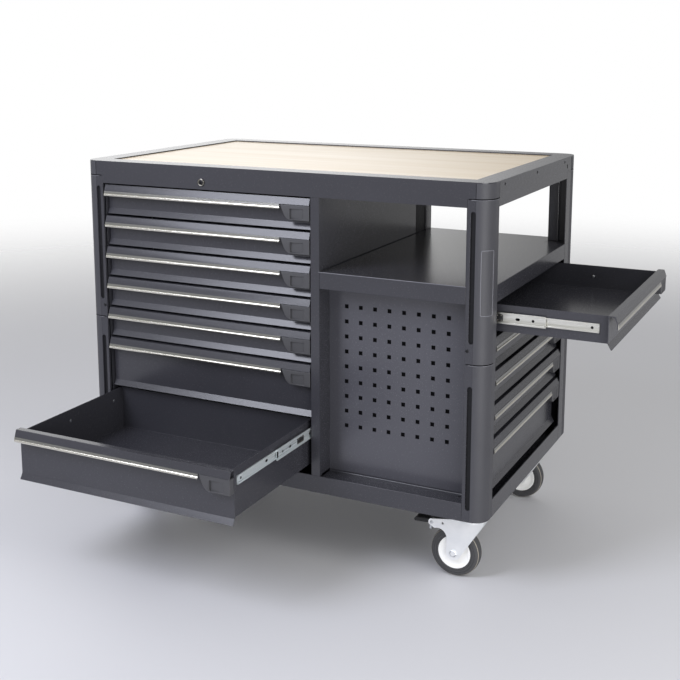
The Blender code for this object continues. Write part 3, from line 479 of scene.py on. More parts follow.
# Places of the grid's lines: from an edge, from the pocket's rim, and across the run up to the slanted edge
paddleGrid = {"edge": np.array([0.0, 0.00015, 0.0004, 0.0008, 0.0012]), "upper": (0.003, 0.006),
              "foot": 0.0028, "rim": 0.003, "tail": (0.002, 0.0016), "across": 9, "down": 7,
              "leftRun": np.array([0.0, 0.01, 0.03, 0.06, 0.1, 0.25, 0.5, 0.75])}


def smoothStep(value):
    value = np.clip(value, 0.0, 1.0)
    return value * value * (3.0 - 2.0 * value)


def latchPaddle(node):
    # x runs from the slanted edge to the right end, z down to the lower edge, and the face's depth is
    # d = crown - edge rounding - pocket(x, z); a ring round each row closes the paddle at its back
    corner, along, up, out, width = fasciaFrame(node)
    low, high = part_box(node)
    height = high.z - low.z - paddle["footGap"]
    step, edge, rim = paddle["ramp"], paddleGrid["edge"], paddleGrid["rim"]
    pocketX = np.array([paddle["pocketLeft"], paddle["pocketRight"]])
    pocketZ = np.array([paddle["pocketTop"], paddle["pocketFoot"]])
    ramps = np.array([-1, 0, 1]) * step
    fixedX = np.concatenate([(pocketX[:, None] + ramps).ravel(),
                             np.linspace(pocketX[0] + rim, pocketX[1] - rim, paddleGrid["across"]),
                             np.linspace(pocketX[1] + paddleGrid["tail"][0], width - paddleGrid["tail"][1],
                                         paddleGrid["across"]), width - edge])
    fixedX.sort()
    drops = np.concatenate([(pocketZ[:, None] + ramps).ravel(),
                            np.linspace(pocketZ[0] + rim, pocketZ[1] - rim, paddleGrid["down"]), edge,
                            paddleGrid["upper"], [height - paddleGrid["foot"]], height - edge])
    drops.sort()
    share = (drops / height)[:, None]
    rounding = np.clip((share - paddle["cornerStart"]) / (1 - paddle["cornerStart"]), 0.0, 1.0)
    leftX = paddle["slant"] * share + paddle["cornerReach"] * (1 - np.sqrt(1 - rounding ** 2))
    x = np.hstack([leftX + (fixedX[0] - leftX) * paddleGrid["leftRun"][None, :],
                   np.repeat(fixedX[None, :], len(drops), 0)])
    z = share * height + 0.0 * x
    inside = (smoothStep((x - pocketX[0] + step) / (2 * step))
              * smoothStep((pocketX[1] + step - x) / (2 * step))
              * smoothStep((z - pocketZ[0] + step) / (2 * step))
              * smoothStep((pocketZ[1] + step - z) / (2 * step)))
    across = np.clip((x - pocketX[0]) / (pocketX[1] - pocketX[0]), 0.0, 1.0)
    pocket = inside * (paddle["pocketDeep"] + (paddle["pocketShallow"] - paddle["pocketDeep"]) * across)
    margin = np.minimum(np.minimum(x - leftX, width - x), np.minimum(z, height - z))
    reach = np.clip(1 - margin / paddle["edgeRadius"], 0.0, 1.0)
    fall = paddle["edgeRadius"] * (1 - np.sqrt(1 - reach ** 2))
    crown = paddle["crown"] * (1 - np.clip(x / width, 0.0, 1.0)) * np.sin(math.pi * share)
    depth = crown - fall - pocket - paddle["crown"]
    backDepth = np.full_like(depth, -paddle["back"])
    x, z, backDepth = (np.vstack([grid[:1], grid, grid[-1:]]) for grid in (x, z, backDepth))
    depth = np.vstack([backDepth[:1], depth, backDepth[-1:]])
    x, z, depth = (np.hstack(pair) for pair in ((x, x[:, ::-1]), (z, z[:, ::-1]), (depth, backDepth)))
    points = corner + x[..., None] * along - z[..., None] * up + depth[..., None] * out
    piece = makePiece(node + "_paddle", [points], latchPlastic, node, capEnds=False,
                      smoothAngle=38.0)
    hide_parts(node)


for latch in latches:
    latchPaddle(latch)
print("latches made")


# Slides of the two open drawers: rolled C sections with rolled lips, and holes along the web
slideForm = {"height": 0.027, "web": 0.0012, "drawerShare": 0.80, "frontGap": 0.018, "round": 0.0032,
             "long": 0.0052, "holeLift": 0.0002, "drawerHoles": (0.016, 0.130, 0.215),
             "middleHoles": (0.030, 0.066, 0.165), "stopHalf": 0.0038, "stopUp": 0.0080, "stopRise": 0.0012,
             "stopCorner": 0.0012, "cageAt": 0.118, "cageHalf": 0.017, "cageUp": 0.0078, "cageRise": 0.0010,
             "cageCorner": 0.0020, "ballRadius": 0.0015, "ballRow": 0.72, "ballSpread": 0.75, "balls": 4}
# Upper half of the section in millimetres, out from the drawer and up from the lower edge
slideHalf = [(0.0, 26.0), (0.3, 26.7), (1.0, 27.0), (3.1, 27.0), (3.7, 26.7), (4.0, 26.1), (4.0, 22.8),
             (3.7, 22.2), (3.3, 22.0), (2.9, 22.2), (2.7, 22.8), (2.6, 24.8), (2.2, 25.5), (1.5, 25.5),
             (1.2, 24.8)]


def slideMember(node):
    # the half section and its mirror image carried along the slide, lips turned away from the drawer; the
    # drawer's own member is lower than the one it runs in and starts a little behind the front
    low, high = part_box(node)
    side = 1.0 if node.endswith("right") else -1.0
    ofDrawer = "_drawer_slide_" in node
    bank, body = bankOf(node), bodyOf[node]
    if bank == "front":
        out, inward, length = side * axisX, axisY, high.y - low.y
        start = np.array((low.x if side > 0 else high.x, low.y, low.z))
    else:
        out, inward, length = side * axisY, -axisX, high.x - low.x
        start = np.array((high.x, low.y if side > 0 else high.y, low.z))
    gap, share = (slideForm["frontGap"], slideForm["drawerShare"]) if ofDrawer else (0.0, 1.0)
    middle = slideForm["height"] / 2
    half = np.array(slideHalf) / 1000.0
    mirrored = half[::-1] * (1.0, -1.0) + (0.0, slideForm["height"])
    section = np.roll(np.vstack([half, mirrored]), 1, axis=0)
    section[:, 1] = middle + share * (section[:, 1] - middle)
    points = carried(section, (gap, length), start, inward, out)
    piece = makePiece(node + "_section", [points], slideZinc[bank], body, smoothAngle=50.0)
    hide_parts(node)
    web = start + slideForm["web"] * out + middle * axisZ
    holes = [padGrid(web + (gap + place) * inward, out, inward, slideForm["long" if number % 2 else "round"],
                     slideForm["round"], slideForm["holeLift"])
             for number, place in enumerate(slideForm["drawerHoles" if ofDrawer else "middleHoles"])]
    makePiece(node + "_holes", holes, shadowGap, body)
    if not ofDrawer:
        slideCage(node, web, out, inward)


def slideCage(node, web, out, inward):
    # the ball cage and the end stop as low pads on the web, and two rows of balls, each a half circle turned
    body, cageAt, half = bodyOf[node], slideForm["cageAt"], slideForm["stopHalf"]
    stop = padGrid(web + half * inward, out, inward, half, slideForm["stopUp"], slideForm["stopRise"],
                   slideForm["stopCorner"])
    cage = padGrid(web + cageAt * inward, out, inward, slideForm["cageHalf"], slideForm["cageUp"],
                   slideForm["cageRise"], slideForm["cageCorner"])
    pads = [stop, cage] if bankOf(node) == "front" else [cage]
    makePiece(node + "_cage", pads, blackPlastic, body)
    spread = slideForm["ballSpread"]
    steps = np.linspace(-spread, spread, slideForm["balls"]) * slideForm["cageHalf"]
    row = slideForm["cageUp"] * slideForm["ballRow"]
    bend = np.linspace(0.0, math.pi, 9)
    ball = slideForm["ballRadius"] * circle(bend)[:, ::-1]
    level = web + slideForm["cageRise"] * out
    balls = [turnedGrid(ball, level + (cageAt + step) * inward + side * row * axisZ, out, 14)
             for step in steps for side in (-1, 1)]
    makePiece(node + "_balls", balls, nickel, body, capEnds=False)


for node in [name for name in frame["nodes"] if "_slide_" in name]:
    slideMember(node)
print("slides made")


# Corner posts: the path of a post's outer face in plan, from its front flange round the corner to its side
post = {"frontLeg": 0.056, "sideLeg": 0.054, "radius": 0.036, "coverStart": 0.0205, "jointStart": 0.003,
        "edgeStart": 0.009, "coverProud": 0.0003, "coverSunk": 0.0008, "coverEdge": 0.0004,
        "coverTop": 0.0024, "coverFoot": 0.0010, "capDrop": 0.038, "capTop": 0.0025, "capSideGap": 0.0006,
        "seamDrop": 0.418, "lineHeight": 0.0022, "lineProud": 0.00025, "edgeHeight": 0.0017,
        "edgeProud": 0.0010, "slotMiddle": 0.042, "slotHalf": 0.0059, "slotDepth": 0.0045, "slotTop": 0.066,
        "slotMiddleTop": 0.370, "slotLower": 0.470, "slotLift": 0.029, "slotEnd": 0.0001}
straightRun = post["frontLeg"] - post["radius"]
quarterRun = post["radius"] * math.pi / 2
roundEnd = straightRun + quarterRun
pathLength = roundEnd + post["sideLeg"] - post["radius"]


def postPoint(corner, along, height, lift):
    # along runs over straight flange, quarter circle and straight side; lift is outwards from the face
    angle = np.clip((along - straightRun) / post["radius"], 0.0, math.pi / 2)
    inX = post["frontLeg"] - np.minimum(along, straightRun) - post["radius"] * np.sin(angle)
    inY = post["radius"] * (1 - np.cos(angle)) + np.maximum(along - straightRun - quarterRun, 0.0)
    x, y = atCorner(corner, inX - lift * np.sin(angle), inY - lift * np.cos(angle))
    return np.stack(np.broadcast_arrays(x, y, height), -1)


def postLine(name, corner, start, end, drop, height, proud, finish):
    # a level line round the post: a low half oval carried along the path
    along = np.linspace(start, end, 28)[:, None]
    turn = fullTurn(8)[None, :]
    heights = top - drop + height / 2 * np.cos(turn) + 0.0 * along
    lift = proud * np.sin(turn) + 0.0 * along
    makePiece(name, [postPoint(corner, along + 0.0 * turn, heights, lift)], finish)


def postJoint(name, corner, end, drop):
    # the dark of the joint, and under it the rounded upper edge of the lower piece in the paler coat, a painted
    # highlight
    postLine(name, corner, post["jointStart"], end, drop, post["lineHeight"], post["lineProud"], shadowGap)
    below = drop + (post["lineHeight"] + post["edgeHeight"]) / 2
    postLine(name + "_edge", corner, post["edgeStart"], end, below, post["edgeHeight"], post["edgeProud"],
             highlightPaint)


def capUpright(name, corner, along):
    # an upright joint line on the cap, from the rim down to the post, with the same half oval section
    drops = np.linspace(post["capTop"], post["capDrop"], 4)[:, None]
    turn = fullTurn(8)[None, :]
    place = along + post["lineHeight"] / 2 * np.cos(turn) + 0.0 * drops
    lift = post["lineProud"] * np.sin(turn) + 0.0 * drops
    makePiece(name, [postPoint(corner, place, top - drops + 0.0 * turn, lift)], shadowGap)


def postCover(name, corner, low, high):
    # a thin smooth shell over the round of the post: a sheet with chamfered edges carried along the path
    proud, sunk, edge = post["coverProud"], post["coverSunk"], post["coverEdge"]
    along = np.linspace(post["coverStart"], pathLength, 48)[:, None]
    heights = np.array([[low, low + edge, high - edge, high, high, low]]) + 0.0 * along
    lift = np.array([[0.0, proud, proud, 0.0, -sunk, -sunk]]) + 0.0 * along
    makePiece(name, [postPoint(corner, along + 0.0 * lift, heights, lift)], coverPaint, smoothAngle=30.0)


def slotBacks(corner):
    # the dark floor of the two long slots in the post's flange, a pad whose dark colour is painted shade
    x, y = atCorner(corner, post["slotMiddle"], post["slotDepth"])
    outward = (0, -1, 0) if corner.startswith("front") else (0, 1, 0)
    spans = [(top - post["slotMiddleTop"], top - post["slotTop"]),
             (baseLow.z + post["slotLift"], top - post["slotLower"])]
    pads = [padGrid((x, y, (low + high) / 2), outward, (0, 0, 1), (high - low) / 2 - post["slotEnd"],
                    post["slotHalf"], hairGap) for low, high in spans]
    makePiece(corner + "_slot_backs", pads, recessShadePaint)


for corner in corners:
    postJoint(corner + "_cap_joint", corner, pathLength, post["capDrop"])
    postJoint(corner + "_cover_joint", corner, roundEnd, post["seamDrop"])
    capUpright(corner + "_cap_front_joint", corner, post["coverStart"])
    capUpright(corner + "_cap_side_joint", corner, pathLength + post["capSideGap"])
    half = post["lineHeight"] / 2
    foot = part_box(corner + "_post")[0].z + post["coverFoot"]
    postCover(corner + "_cap_cover", corner, top - post["capDrop"] + half, top - post["coverTop"])
    postCover(corner + "_upper_cover", corner, top - post["seamDrop"] + half, top - post["capDrop"] - half)
    postCover(corner + "_lower_cover", corner, foot, top - post["seamDrop"] - half)
    slotBacks(corner)


# Raised frame on the right front post, round an empty field; the ridge is in the paler coat, a painted highlight
frameRing = {"topDrop": 0.153, "bottomDrop": 0.303, "width": 0.032, "corner": 0.004, "turn": 0.84,
             "ridgeHalf": 0.0012, "ridgeHeight": 0.0015, "squareness": 0.5, "steps": 96, "sectionSteps": 16}


def raisedFrame(name, corner):
    # a low ridge on the post's round: the path in (along, height) is a rounded rectangle,
    # clip(3c, -1, 1)*(half - r) + r*c with c = (cos t, sin t), and the section's lift is height*|sin u|^s
    middleAlong = straightRun + post["radius"] * frameRing["turn"]
    halfWidth, radius = frameRing["width"] / 2, frameRing["corner"]
    halfHeight = (frameRing["bottomDrop"] - frameRing["topDrop"]) / 2
    middleHeight = top - (frameRing["bottomDrop"] + frameRing["topDrop"]) / 2
    turn = fullTurn(frameRing["steps"])
    outward = circle(turn)
    centre = np.clip(3.0 * outward, -1.0, 1.0) * np.array([halfWidth - radius, halfHeight - radius])
    around = fullTurn(frameRing["sectionSteps"])
    reach = radius + frameRing["ridgeHalf"] * np.cos(around)
    flat = centre[:, None, :] + outward[:, None, :] * reach[None, :, None]
    rise = np.sign(np.sin(around)) * np.abs(np.sin(around)) ** frameRing["squareness"]
    lift = frameRing["ridgeHeight"] * rise[None, :] + 0.0 * flat[..., 0]
    points = postPoint(corner, middleAlong + flat[..., 0], middleHeight + flat[..., 1], lift)
    makePiece(name, [points], highlightPaint, closeRows=True)


raisedFrame("front_right_raised_frame", "front_right")
print("post covers, joints, slots and raised frame made")


# Inner side of the two open posts over the shelf: a folded tube that closes the post, and a plate at the
# shelf's level; a like plate closes the foot of every post
inner = {"outer": 0.0600, "stepIn": 0.0300, "deep": 0.0535, "flange": 0.0078, "fold": 0.004, "foldSteps": 5,
         "topDrop": 0.040, "shoulder": 0.0115, "shoulderSheet": 0.0045, "plateGap": 0.0029,
         "plateEdge": 0.0002, "plateThickness": 0.0015, "plateSink": 0.0004, "footLift": 0.003,
         "rearLeg": 0.094, "plateRadius": 0.0345, "plateSteps": 8}


def innerPost(corner):
    # the tube's outline in plan, with a shoulder beside the post and two folded corners, carried up
    turn = quarterTurn(inner["foldSteps"])
    fold, wide, deep, step = inner["fold"], inner["outer"], inner["deep"], inner["stepIn"]
    rounding = fold * circle(turn)[:, ::-1]
    firstFold = np.array([step + fold, deep - fold]) + rounding[::-1] * np.array([-1.0, 1.0])
    secondFold = np.array([wide - fold, deep - fold]) + rounding
    level, edge = deep - inner["shoulder"], inner["plateGap"]
    lower = level - inner["shoulderSheet"]
    shoulder = [(step, inner["flange"]), (step, lower), (edge, lower), (edge, level), (step, level)]
    outline = np.vstack([shoulder, firstFold, secondFold, [(wide, inner["flange"])]])
    foldedSheet(corner + "_inner_tube", np.column_stack(atCorner(corner, *outline.T)), shelfHigh.z + hairGap,
                top - inner["topDrop"])


def cornerPlate(name, corner, level):
    # the plate's outline in plan follows the post's inside: three square corners and one round one
    leg = inner["rearLeg"] if corner == "rear_right" else post["sideLeg"]
    turn = quarterTurn(inner["plateSteps"])
    radius, edge = inner["plateRadius"], inner["plateGap"]
    flange, reach = inner["flange"] + inner["plateEdge"], post["frontLeg"] + inner["plateEdge"]
    arc = np.array([edge + radius, flange + radius]) - radius * circle(turn)
    outline = np.vstack([[(reach, leg), (edge, leg)], arc, [(reach, flange)]])
    foldedSheet(name, np.column_stack(atCorner(corner, *outline.T)), level - inner["plateThickness"], level)


for corner in ("front_right", "rear_right"):
    innerPost(corner)
    cornerPlate(corner + "_shelf_corner", corner, shelfHigh.z - inner["plateSink"])
for corner in corners:
    cornerPlate(corner + "_foot_plate", corner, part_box(corner + "_post")[0].z + inner["footLift"])
print("inner post tubes, shelf corners and foot plates made")


# Screws: low domed heads with a cross recess, on the posts, the rim, the back and the closed end
screw = {"rings": 9, "steps": 24, "fall": 0.85, "crossHalf": 0.16, "crossReach": 0.62, "crossDepth": 0.45,
         "foot": 0.0004}
postScrew = {"drop": 0.386, "inset": 0.0500, "radius": 0.0042, "height": 0.0016}
rimScrew = {"drop": 0.0112, "places": (0.093, 0.347, 0.6015), "radius": 0.0034, "height": 0.0010}
panelScrew = {"inset": 0.018, "radius": 0.0040, "height": 0.0013}


def screwGrid(centre, normal, radius, height):
    # a dome over a polar grid, h = height*sqrt(1 - fall*r^2), sunk where the two arms of the cross run
    normal, centre = np.array(normal, float), np.array(centre, float)
    side = np.array([0.0, 0.0, 1.0]) if abs(normal[2]) < 0.5 else np.array([1.0, 0.0, 0.0])
    other = np.cross(normal, side)
    share = np.linspace(0.0, 1.0, screw["rings"])[:, None]
    turn = fullTurn(screw["steps"])[None, :]
    u, v = share * np.cos(turn), share * np.sin(turn)
    arm = (np.minimum(np.abs(u), np.abs(v)) < screw["crossHalf"]) & (share < screw["crossReach"])
    rise = height * (np.sqrt(1 - screw["fall"] * share ** 2) - screw["crossDepth"] * arm)
    flat = radius * (u[..., None] * side + v[..., None] * other)
    head = centre + flat + rise[..., None] * normal
    return np.vstack([head, (centre + flat[-1] - screw["foot"] * normal)[None]])


def screwRow(name, spots, kind):
    # spots are pairs of a head's place and the way it faces
    makePiece(name, [screwGrid(spot, way, kind["radius"], kind["height"]) for spot, way in spots], oxide)


def panelSpots(node, normal):
    # three rows of three over the panel's face
    low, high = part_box(node)
    inset = panelScrew["inset"]
    thirds = [(low[i] + inset, (low[i] + high[i]) / 2, high[i] - inset) for i in range(3)]
    if normal[0]:
        return [((low.x, y, z), normal) for y in thirds[1] for z in thirds[2]]
    return [((x, high.y, z), normal) for x in thirds[0] for z in thirds[2]]


screwRow("post_screws", [((x, y, top - postScrew["drop"]), (0, way, 0))
                         for x in (left + postScrew["inset"], right - postScrew["inset"])
                         for y, way in ((front, -1), (back, 1))], postScrew)
screwRow("rim_screws", [((x, front + y, top - rimScrew["drop"]), (way, 0, 0))
                        for x, way in ((left, -1), (right, 1)) for y in rimScrew["places"]], rimScrew)
screwRow("back_screws", panelSpots("back_panel", (0, 1, 0)), panelScrew)
screwRow("left_screws", panelSpots("left_side_panel", (-1, 0, 0)), panelScrew)

# A short dark slot in each end of the apron, where the frame hooks on the rear post
hookSlot = {"along": 0.629, "drop": 0.025, "halfWidth": 0.0030, "halfHeight": 0.0058, "lift": 0.00025}
hookSlots = [padGrid((x, front + hookSlot["along"], top - hookSlot["drop"]), (way, 0, 0), (0, 0, 1),
                     hookSlot["halfHeight"], hookSlot["halfWidth"], hookSlot["lift"])
             for x, way in ((left, -1), (right, 1))]
makePiece("hook_slots", hookSlots, shadowGap)
print("screws and hook slots made")


# Lock: a nickel ring with a rolled front edge round a darker core with a key slot
lock = {"steps": 48, "edge": 0.0012, "slotHalfWidth": 0.0008, "slotHalfHeight": 0.0040, "slotLift": 0.0001,
        "coreSink": 0.0006, "coreEdge": 0.0006, "coreFace": 0.001}


def makeLock():
    # ring and plug are (radius, along) profiles turned about the lock's axis, and the key slot is a dark pad
    low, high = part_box("lock_barrel")
    coreLow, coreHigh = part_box("lock_core")
    centre = np.array(((low.x + high.x) / 2, low.y, (low.z + high.z) / 2))
    outside, inside, edge = (high.x - low.x) / 2, (coreHigh.x - coreLow.x) / 2, lock["edge"]
    length, sink, bore = high.y - low.y, lock["coreSink"], inside + hairGap
    ring = [(bore, length), (outside, length), (outside, edge), (outside - edge * 0.3, edge * 0.3),
            (outside - edge, 0.0), (inside + edge, 0.0), (inside + edge * 0.4, edge * 0.3), (bore, edge)]
    barrel = makePiece("lock_barrel_ring", [turnedGrid(ring, centre, (0, 1, 0), lock["steps"])], nickel,
                       closeRows=True)
    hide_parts("lock_barrel")
    plug = [(0.0, sink), (inside - lock["coreFace"], sink), (inside, sink + lock["coreEdge"]),
            (inside, length), (0.0, length)]
    core = makePiece("lock_core_plug", [turnedGrid(plug, centre, (0, 1, 0), lock["steps"])], oxide,
                     "lock_core", capEnds=False)
    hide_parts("lock_core")
    slot = padGrid(centre + np.array((0.0, sink, 0.0)), (0, -1, 0), (0, 0, 1), lock["slotHalfHeight"],
                   lock["slotHalfWidth"], lock["slotLift"])
    makePiece("lock_key_slot", [slot], shadowGap, "lock_core")


makeLock()
print("lock made")


# Panel holes: a dark pad in each square hole, painted shade of the hole, just short of the sheet's back, so that
# no rail shows through
hole = {"columns": 8, "rows": 9, "pitch": 0.038, "fromLeft": 0.0472, "fromTop": 0.0507, "half": 0.00505,
        "corner": 0.0003, "depth": 0.0007, "lift": 0.0002}
holeSpots = [(panelLow.x + hole["fromLeft"] + column * hole["pitch"], panelLow.y + hole["depth"],
              panelHigh.z - hole["fromTop"] - row * hole["pitch"])
             for column in range(hole["columns"]) for row in range(hole["rows"])]
holePads = [padGrid(spot, (0, -1, 0), (1, 0, 0), hole["half"], hole["half"], hole["lift"], hole["corner"])
            for spot in holeSpots]
makePiece("panel_hole_backs", holePads, shadowGap)


# Floor of the open bay: a folded plate inside the base's front edge, turned up under the perforated panel
bayFloor = {"drop": 0.005, "thickness": 0.0015, "frontGap": 0.0034, "bend": 0.003, "bendSteps": 6,
            "endGap": 0.0004, "screwInset": 0.024, "screwBack": 0.012, "radius": 0.0034, "height": 0.0010}


def makeBayFloor():
    # the section runs level and turns up through a quarter circle; its other face is one sheet away
    level, bend = baseHigh.z - bayFloor["drop"], bayFloor["bend"]
    turn = np.linspace(-math.pi / 2, 0.0, bayFloor["bendSteps"])
    normal = circle(turn)
    arc = np.array([panelLow.y - bend, level + bend]) + bend * normal
    face = np.vstack([[(front + bayFloor["frontGap"], level)], arc, [(panelLow.y, baseHigh.z)]])
    away = np.vstack([[(0.0, -1.0)], normal, [(1.0, 0.0)]]) * bayFloor["thickness"]
    section = np.vstack([face, (face + away)[::-1]])
    ends = (panelLow.x + bayFloor["endGap"], right - post["frontLeg"] - bayFloor["endGap"])
    makePiece("bay_floor", [carried(section, ends)], paint, smoothAngle=50.0)
    inset, screwY = bayFloor["screwInset"], panelLow.y - bayFloor["screwBack"]
    spots = [((x, screwY, level), (0, 0, 1)) for x in (ends[0] + inset, ends[1] - inset)]
    screwRow("bay_floor_screws", spots, bayFloor)


# Right cheek of the bay: a folded sheet from the post's flange to the panel, which closes the post's inside
cheek = {"sheet": 0.0012, "fold": 0.002, "foldSteps": 5, "foot": 0.012, "frontGap": 0.0078, "inset": 0.0004}


def makeCheek():
    # an angle in plan, back along the flange's edge, round a quarter circle and along the panel, carried up
    sheet, fold, edge = cheek["sheet"], cheek["fold"], right - post["frontLeg"] + cheek["inset"]
    turn = quarterTurn(cheek["foldSteps"])
    ring = circle(turn)
    centre = np.array([edge, panelLow.y]) - fold - sheet
    foot, start = edge - cheek["foot"], front + cheek["frontGap"]
    outline = np.vstack([[(edge, start)], centre + (fold + sheet) * ring,
                         [(foot, panelLow.y), (foot, panelLow.y - sheet)], centre + fold * ring[::-1],
                         [(edge - sheet, start)]])
    low, high = baseHigh.z - bayFloor["drop"] + hairGap, shelfLow.z - hairGap
    foldedSheet("bay_right_cheek", outline, low, high)


# Rear end of the divider over the shelf: a dark pad on the wall between the wall's sheet and the folded rear edge,
# painted shade of the gap there
rearEdge = {"gapStart": 0.113, "gapEnd": 0.044, "gapCorner": 0.0005, "edgeEnd": 0.012, "proud": 0.004,
            "fold": 0.003, "foldSteps": 5, "endGap": 0.0004}


def makeRearEdge():
    # the gap is a flat pad on the wall, its dark colour painted shade; the edge is a plan outline with two rounded
    # folds, carried up
    wall = panelLow.x
    low, high = shelfHigh.z + rearEdge["endGap"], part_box("divider_wall")[1].z - rearEdge["endGap"]
    gapMiddle = back - (rearEdge["gapStart"] + rearEdge["gapEnd"]) / 2
    gapHalf = (rearEdge["gapStart"] - rearEdge["gapEnd"]) / 2
    gap = padGrid((wall, gapMiddle, (low + high) / 2), (1, 0, 0), (0, 1, 0), gapHalf, (high - low) / 2,
                  hairGap, rearEdge["gapCorner"])
    makePiece("divider_rear_gap_shade_pad", [gap], recessShadePaint)
    turn = quarterTurn(rearEdge["foldSteps"])
    fold, flat = rearEdge["fold"], rearEdge["proud"] - rearEdge["fold"]
    near, far = back - rearEdge["gapEnd"], back - rearEdge["edgeEnd"]
    firstFold = np.array([flat, near + fold]) + fold * circle(turn)[:, ::-1] * (1.0, -1.0)
    secondFold = np.array([flat, far - fold]) + fold * circle(turn)
    outline = np.vstack([[(0.0, near)], firstFold, secondFold, [(0.0, far)]]) + np.array([wall, 0.0])
    foldedSheet("divider_rear_edge", outline, low, high)


# Rolled front edge of the shelf: a narrow round over the lip in the paler coat, a painted highlight where it would
# catch the light
shelfEdge = {"radius": 0.0010, "steps": 12, "endGap": 0.0006}


def makeShelfEdge():
    # a small circle just inside the lip's upper edge, carried along it: (y, z) = edge + r*(cos t, sin t)
    ends = (panelLow.x + shelfEdge["endGap"], right - post["frontLeg"] - shelfEdge["endGap"])
    edge = np.array([shelfLow.y + hairGap, shelfHigh.z - hairGap])
    section = edge + shelfEdge["radius"] * circle(fullTurn(shelfEdge["steps"]))
    makePiece("shelf_front_edge", [carried(section, ends)], highlightPaint)


makeBayFloor()
makeCheek()
makeRearEdge()
makeShelfEdge()
print("panel holes, bay floor, cheek, divider edge and shelf edge made")


# Wheels: grey rubber tyres with stepped walls, on white hubs with a dished web, as (radius, along) profiles
wheel = {"steps": 96, "treadLine": (0.0602, 0.0612)}
tyreFace = [(0.0417, 0.0158), (0.0432, 0.0170), (0.0452, 0.0170), (0.0457, 0.0157), (0.0469, 0.0157),
            (0.0474, 0.0169), (0.0508, 0.0168), (0.0513, 0.0155), (0.0523, 0.0155), (0.0528, 0.0164),
            (0.0560, 0.0158), (0.0585, 0.0144), (0.0602, 0.0126), (0.0611, 0.0118), (0.0612, 0.0108),
            (0.0617, 0.0090), (0.0622, 0.0060), (0.0625, 0.0025)]
hubFace = [(0.0066, 0.0190), (0.0122, 0.0190), (0.0134, 0.0182), (0.0148, 0.0158), (0.0172, 0.0150),
           (0.0320, 0.0150), (0.0346, 0.0156), (0.0366, 0.0168), (0.0392, 0.0172), (0.0412, 0.0168)]


def wheelSkin(corner, part, face, finish):
    # one side's profile and its mirror image, turned about the axle
    low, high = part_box(corner + "_hub")
    axle = np.array((low + high) / 2)
    profile = face + [(radius, -along) for radius, along in reversed(face)]
    piece = makePiece(corner + part + "_skin", [turnedGrid(profile, axle, (0, 1, 0), wheel["steps"])], finish,
                      corner + "_wheel", closeRows=True, smoothAngle=34.0)
    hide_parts(corner + part)
    return piece, axle


for corner in corners:
    tyre, axle = wheelSkin(corner, "_tyre", tyreFace, rubber)
    tyre.data.materials.append(treadRubber)
    centres = np.array([face.center for face in tyre.data.polygons])
    radii = np.linalg.norm((centres - axle)[:, [0, 2]], axis=1)
    onLine = (radii > wheel["treadLine"][0]) & (radii < wheel["treadLine"][1])
    tyre.data.polygons.foreach_set("material_index", onLine.astype(np.int32))
    wheelSkin(corner, "_hub", hubFace, hubPlastic)
print("wheels made")


# Caster fittings: axle nuts, plate bolts, horn rivets, pedal ribs and the brake's set screw
fitting = {"outer": 0.0235, "nutInner": 0.0058, "nutRadius": 0.0092, "nutHeight": 0.0040, "nutSink": 0.0002,
           "boltRadius": 0.0085, "boltHeight": 0.0055, "boltX": 0.041, "boltY": 0.031, "raceHeight": 0.015,
           "rivetRadius": 0.0046, "rivetHeight": 0.0012, "rivetSteps": 24,
           "ribPlaces": (0.016, 0.022, 0.028, 0.034, 0.040), "ribRadius": 0.0009, "ribHalf": 0.0155,
           "ribRise": 0.0044, "ribFall": 0.06, "ribSteps": 10, "studRadius": 0.0024, "studReach": 0.0215,
           "studTop": 0.002, "studOut": 0.0060, "studAside": -0.011, "studNut": 0.0048,
           "studNutHeight": 0.006, "studUpper": 0.0006, "studLower": 0.0010}


def nutProfile(inside, radius, base, height):
    # a ring whose outer edges are chamfered; turned with six steps it is a hex nut
    chamfer = 0.12 * height
    end = base + height
    return [(inside, base), (radius * 0.96, base), (radius, base + chamfer), (radius, end - chamfer),
            (radius * 0.92, end), (inside, end)]


def casterFittings(corner):
    # nuts on both ends of the axle, and four bolts under the caster's plate
    roll, pin = jointAt[corner + "_roll"], jointAt[corner + "_swivel"]
    nut = nutProfile(fitting["nutInner"], fitting["nutRadius"], fitting["outer"] - fitting["nutSink"],
                     fitting["nutHeight"])
    nuts = [turnedGrid(nut, roll, (0, side, 0), 6) for side in (-1, 1)]
    makePiece(corner + "_axle_nuts", nuts, zinc, corner + "_fork", closeRows=True,
              smoothAngle=25.0)
    plateBottom = baseLow.z + fitting["raceHeight"]
    head = nutProfile(0.0, fitting["boltRadius"], -hairGap, fitting["boltHeight"])[1:5][::-1]
    bolt = [(0.0, fitting["boltHeight"] * 0.86)] + head + [(0.0, -hairGap)]
    bolts = [turnedGrid(bolt, (pin[0] + x * fitting["boltX"], pin[1] + y * fitting["boltY"], plateBottom),
                        (0, 0, -1), 6) for x in (-1, 1) for y in (-1, 1)]
    makePiece(corner + "_plate_bolts", bolts, zinc, capEnds=False, smoothAngle=25.0)


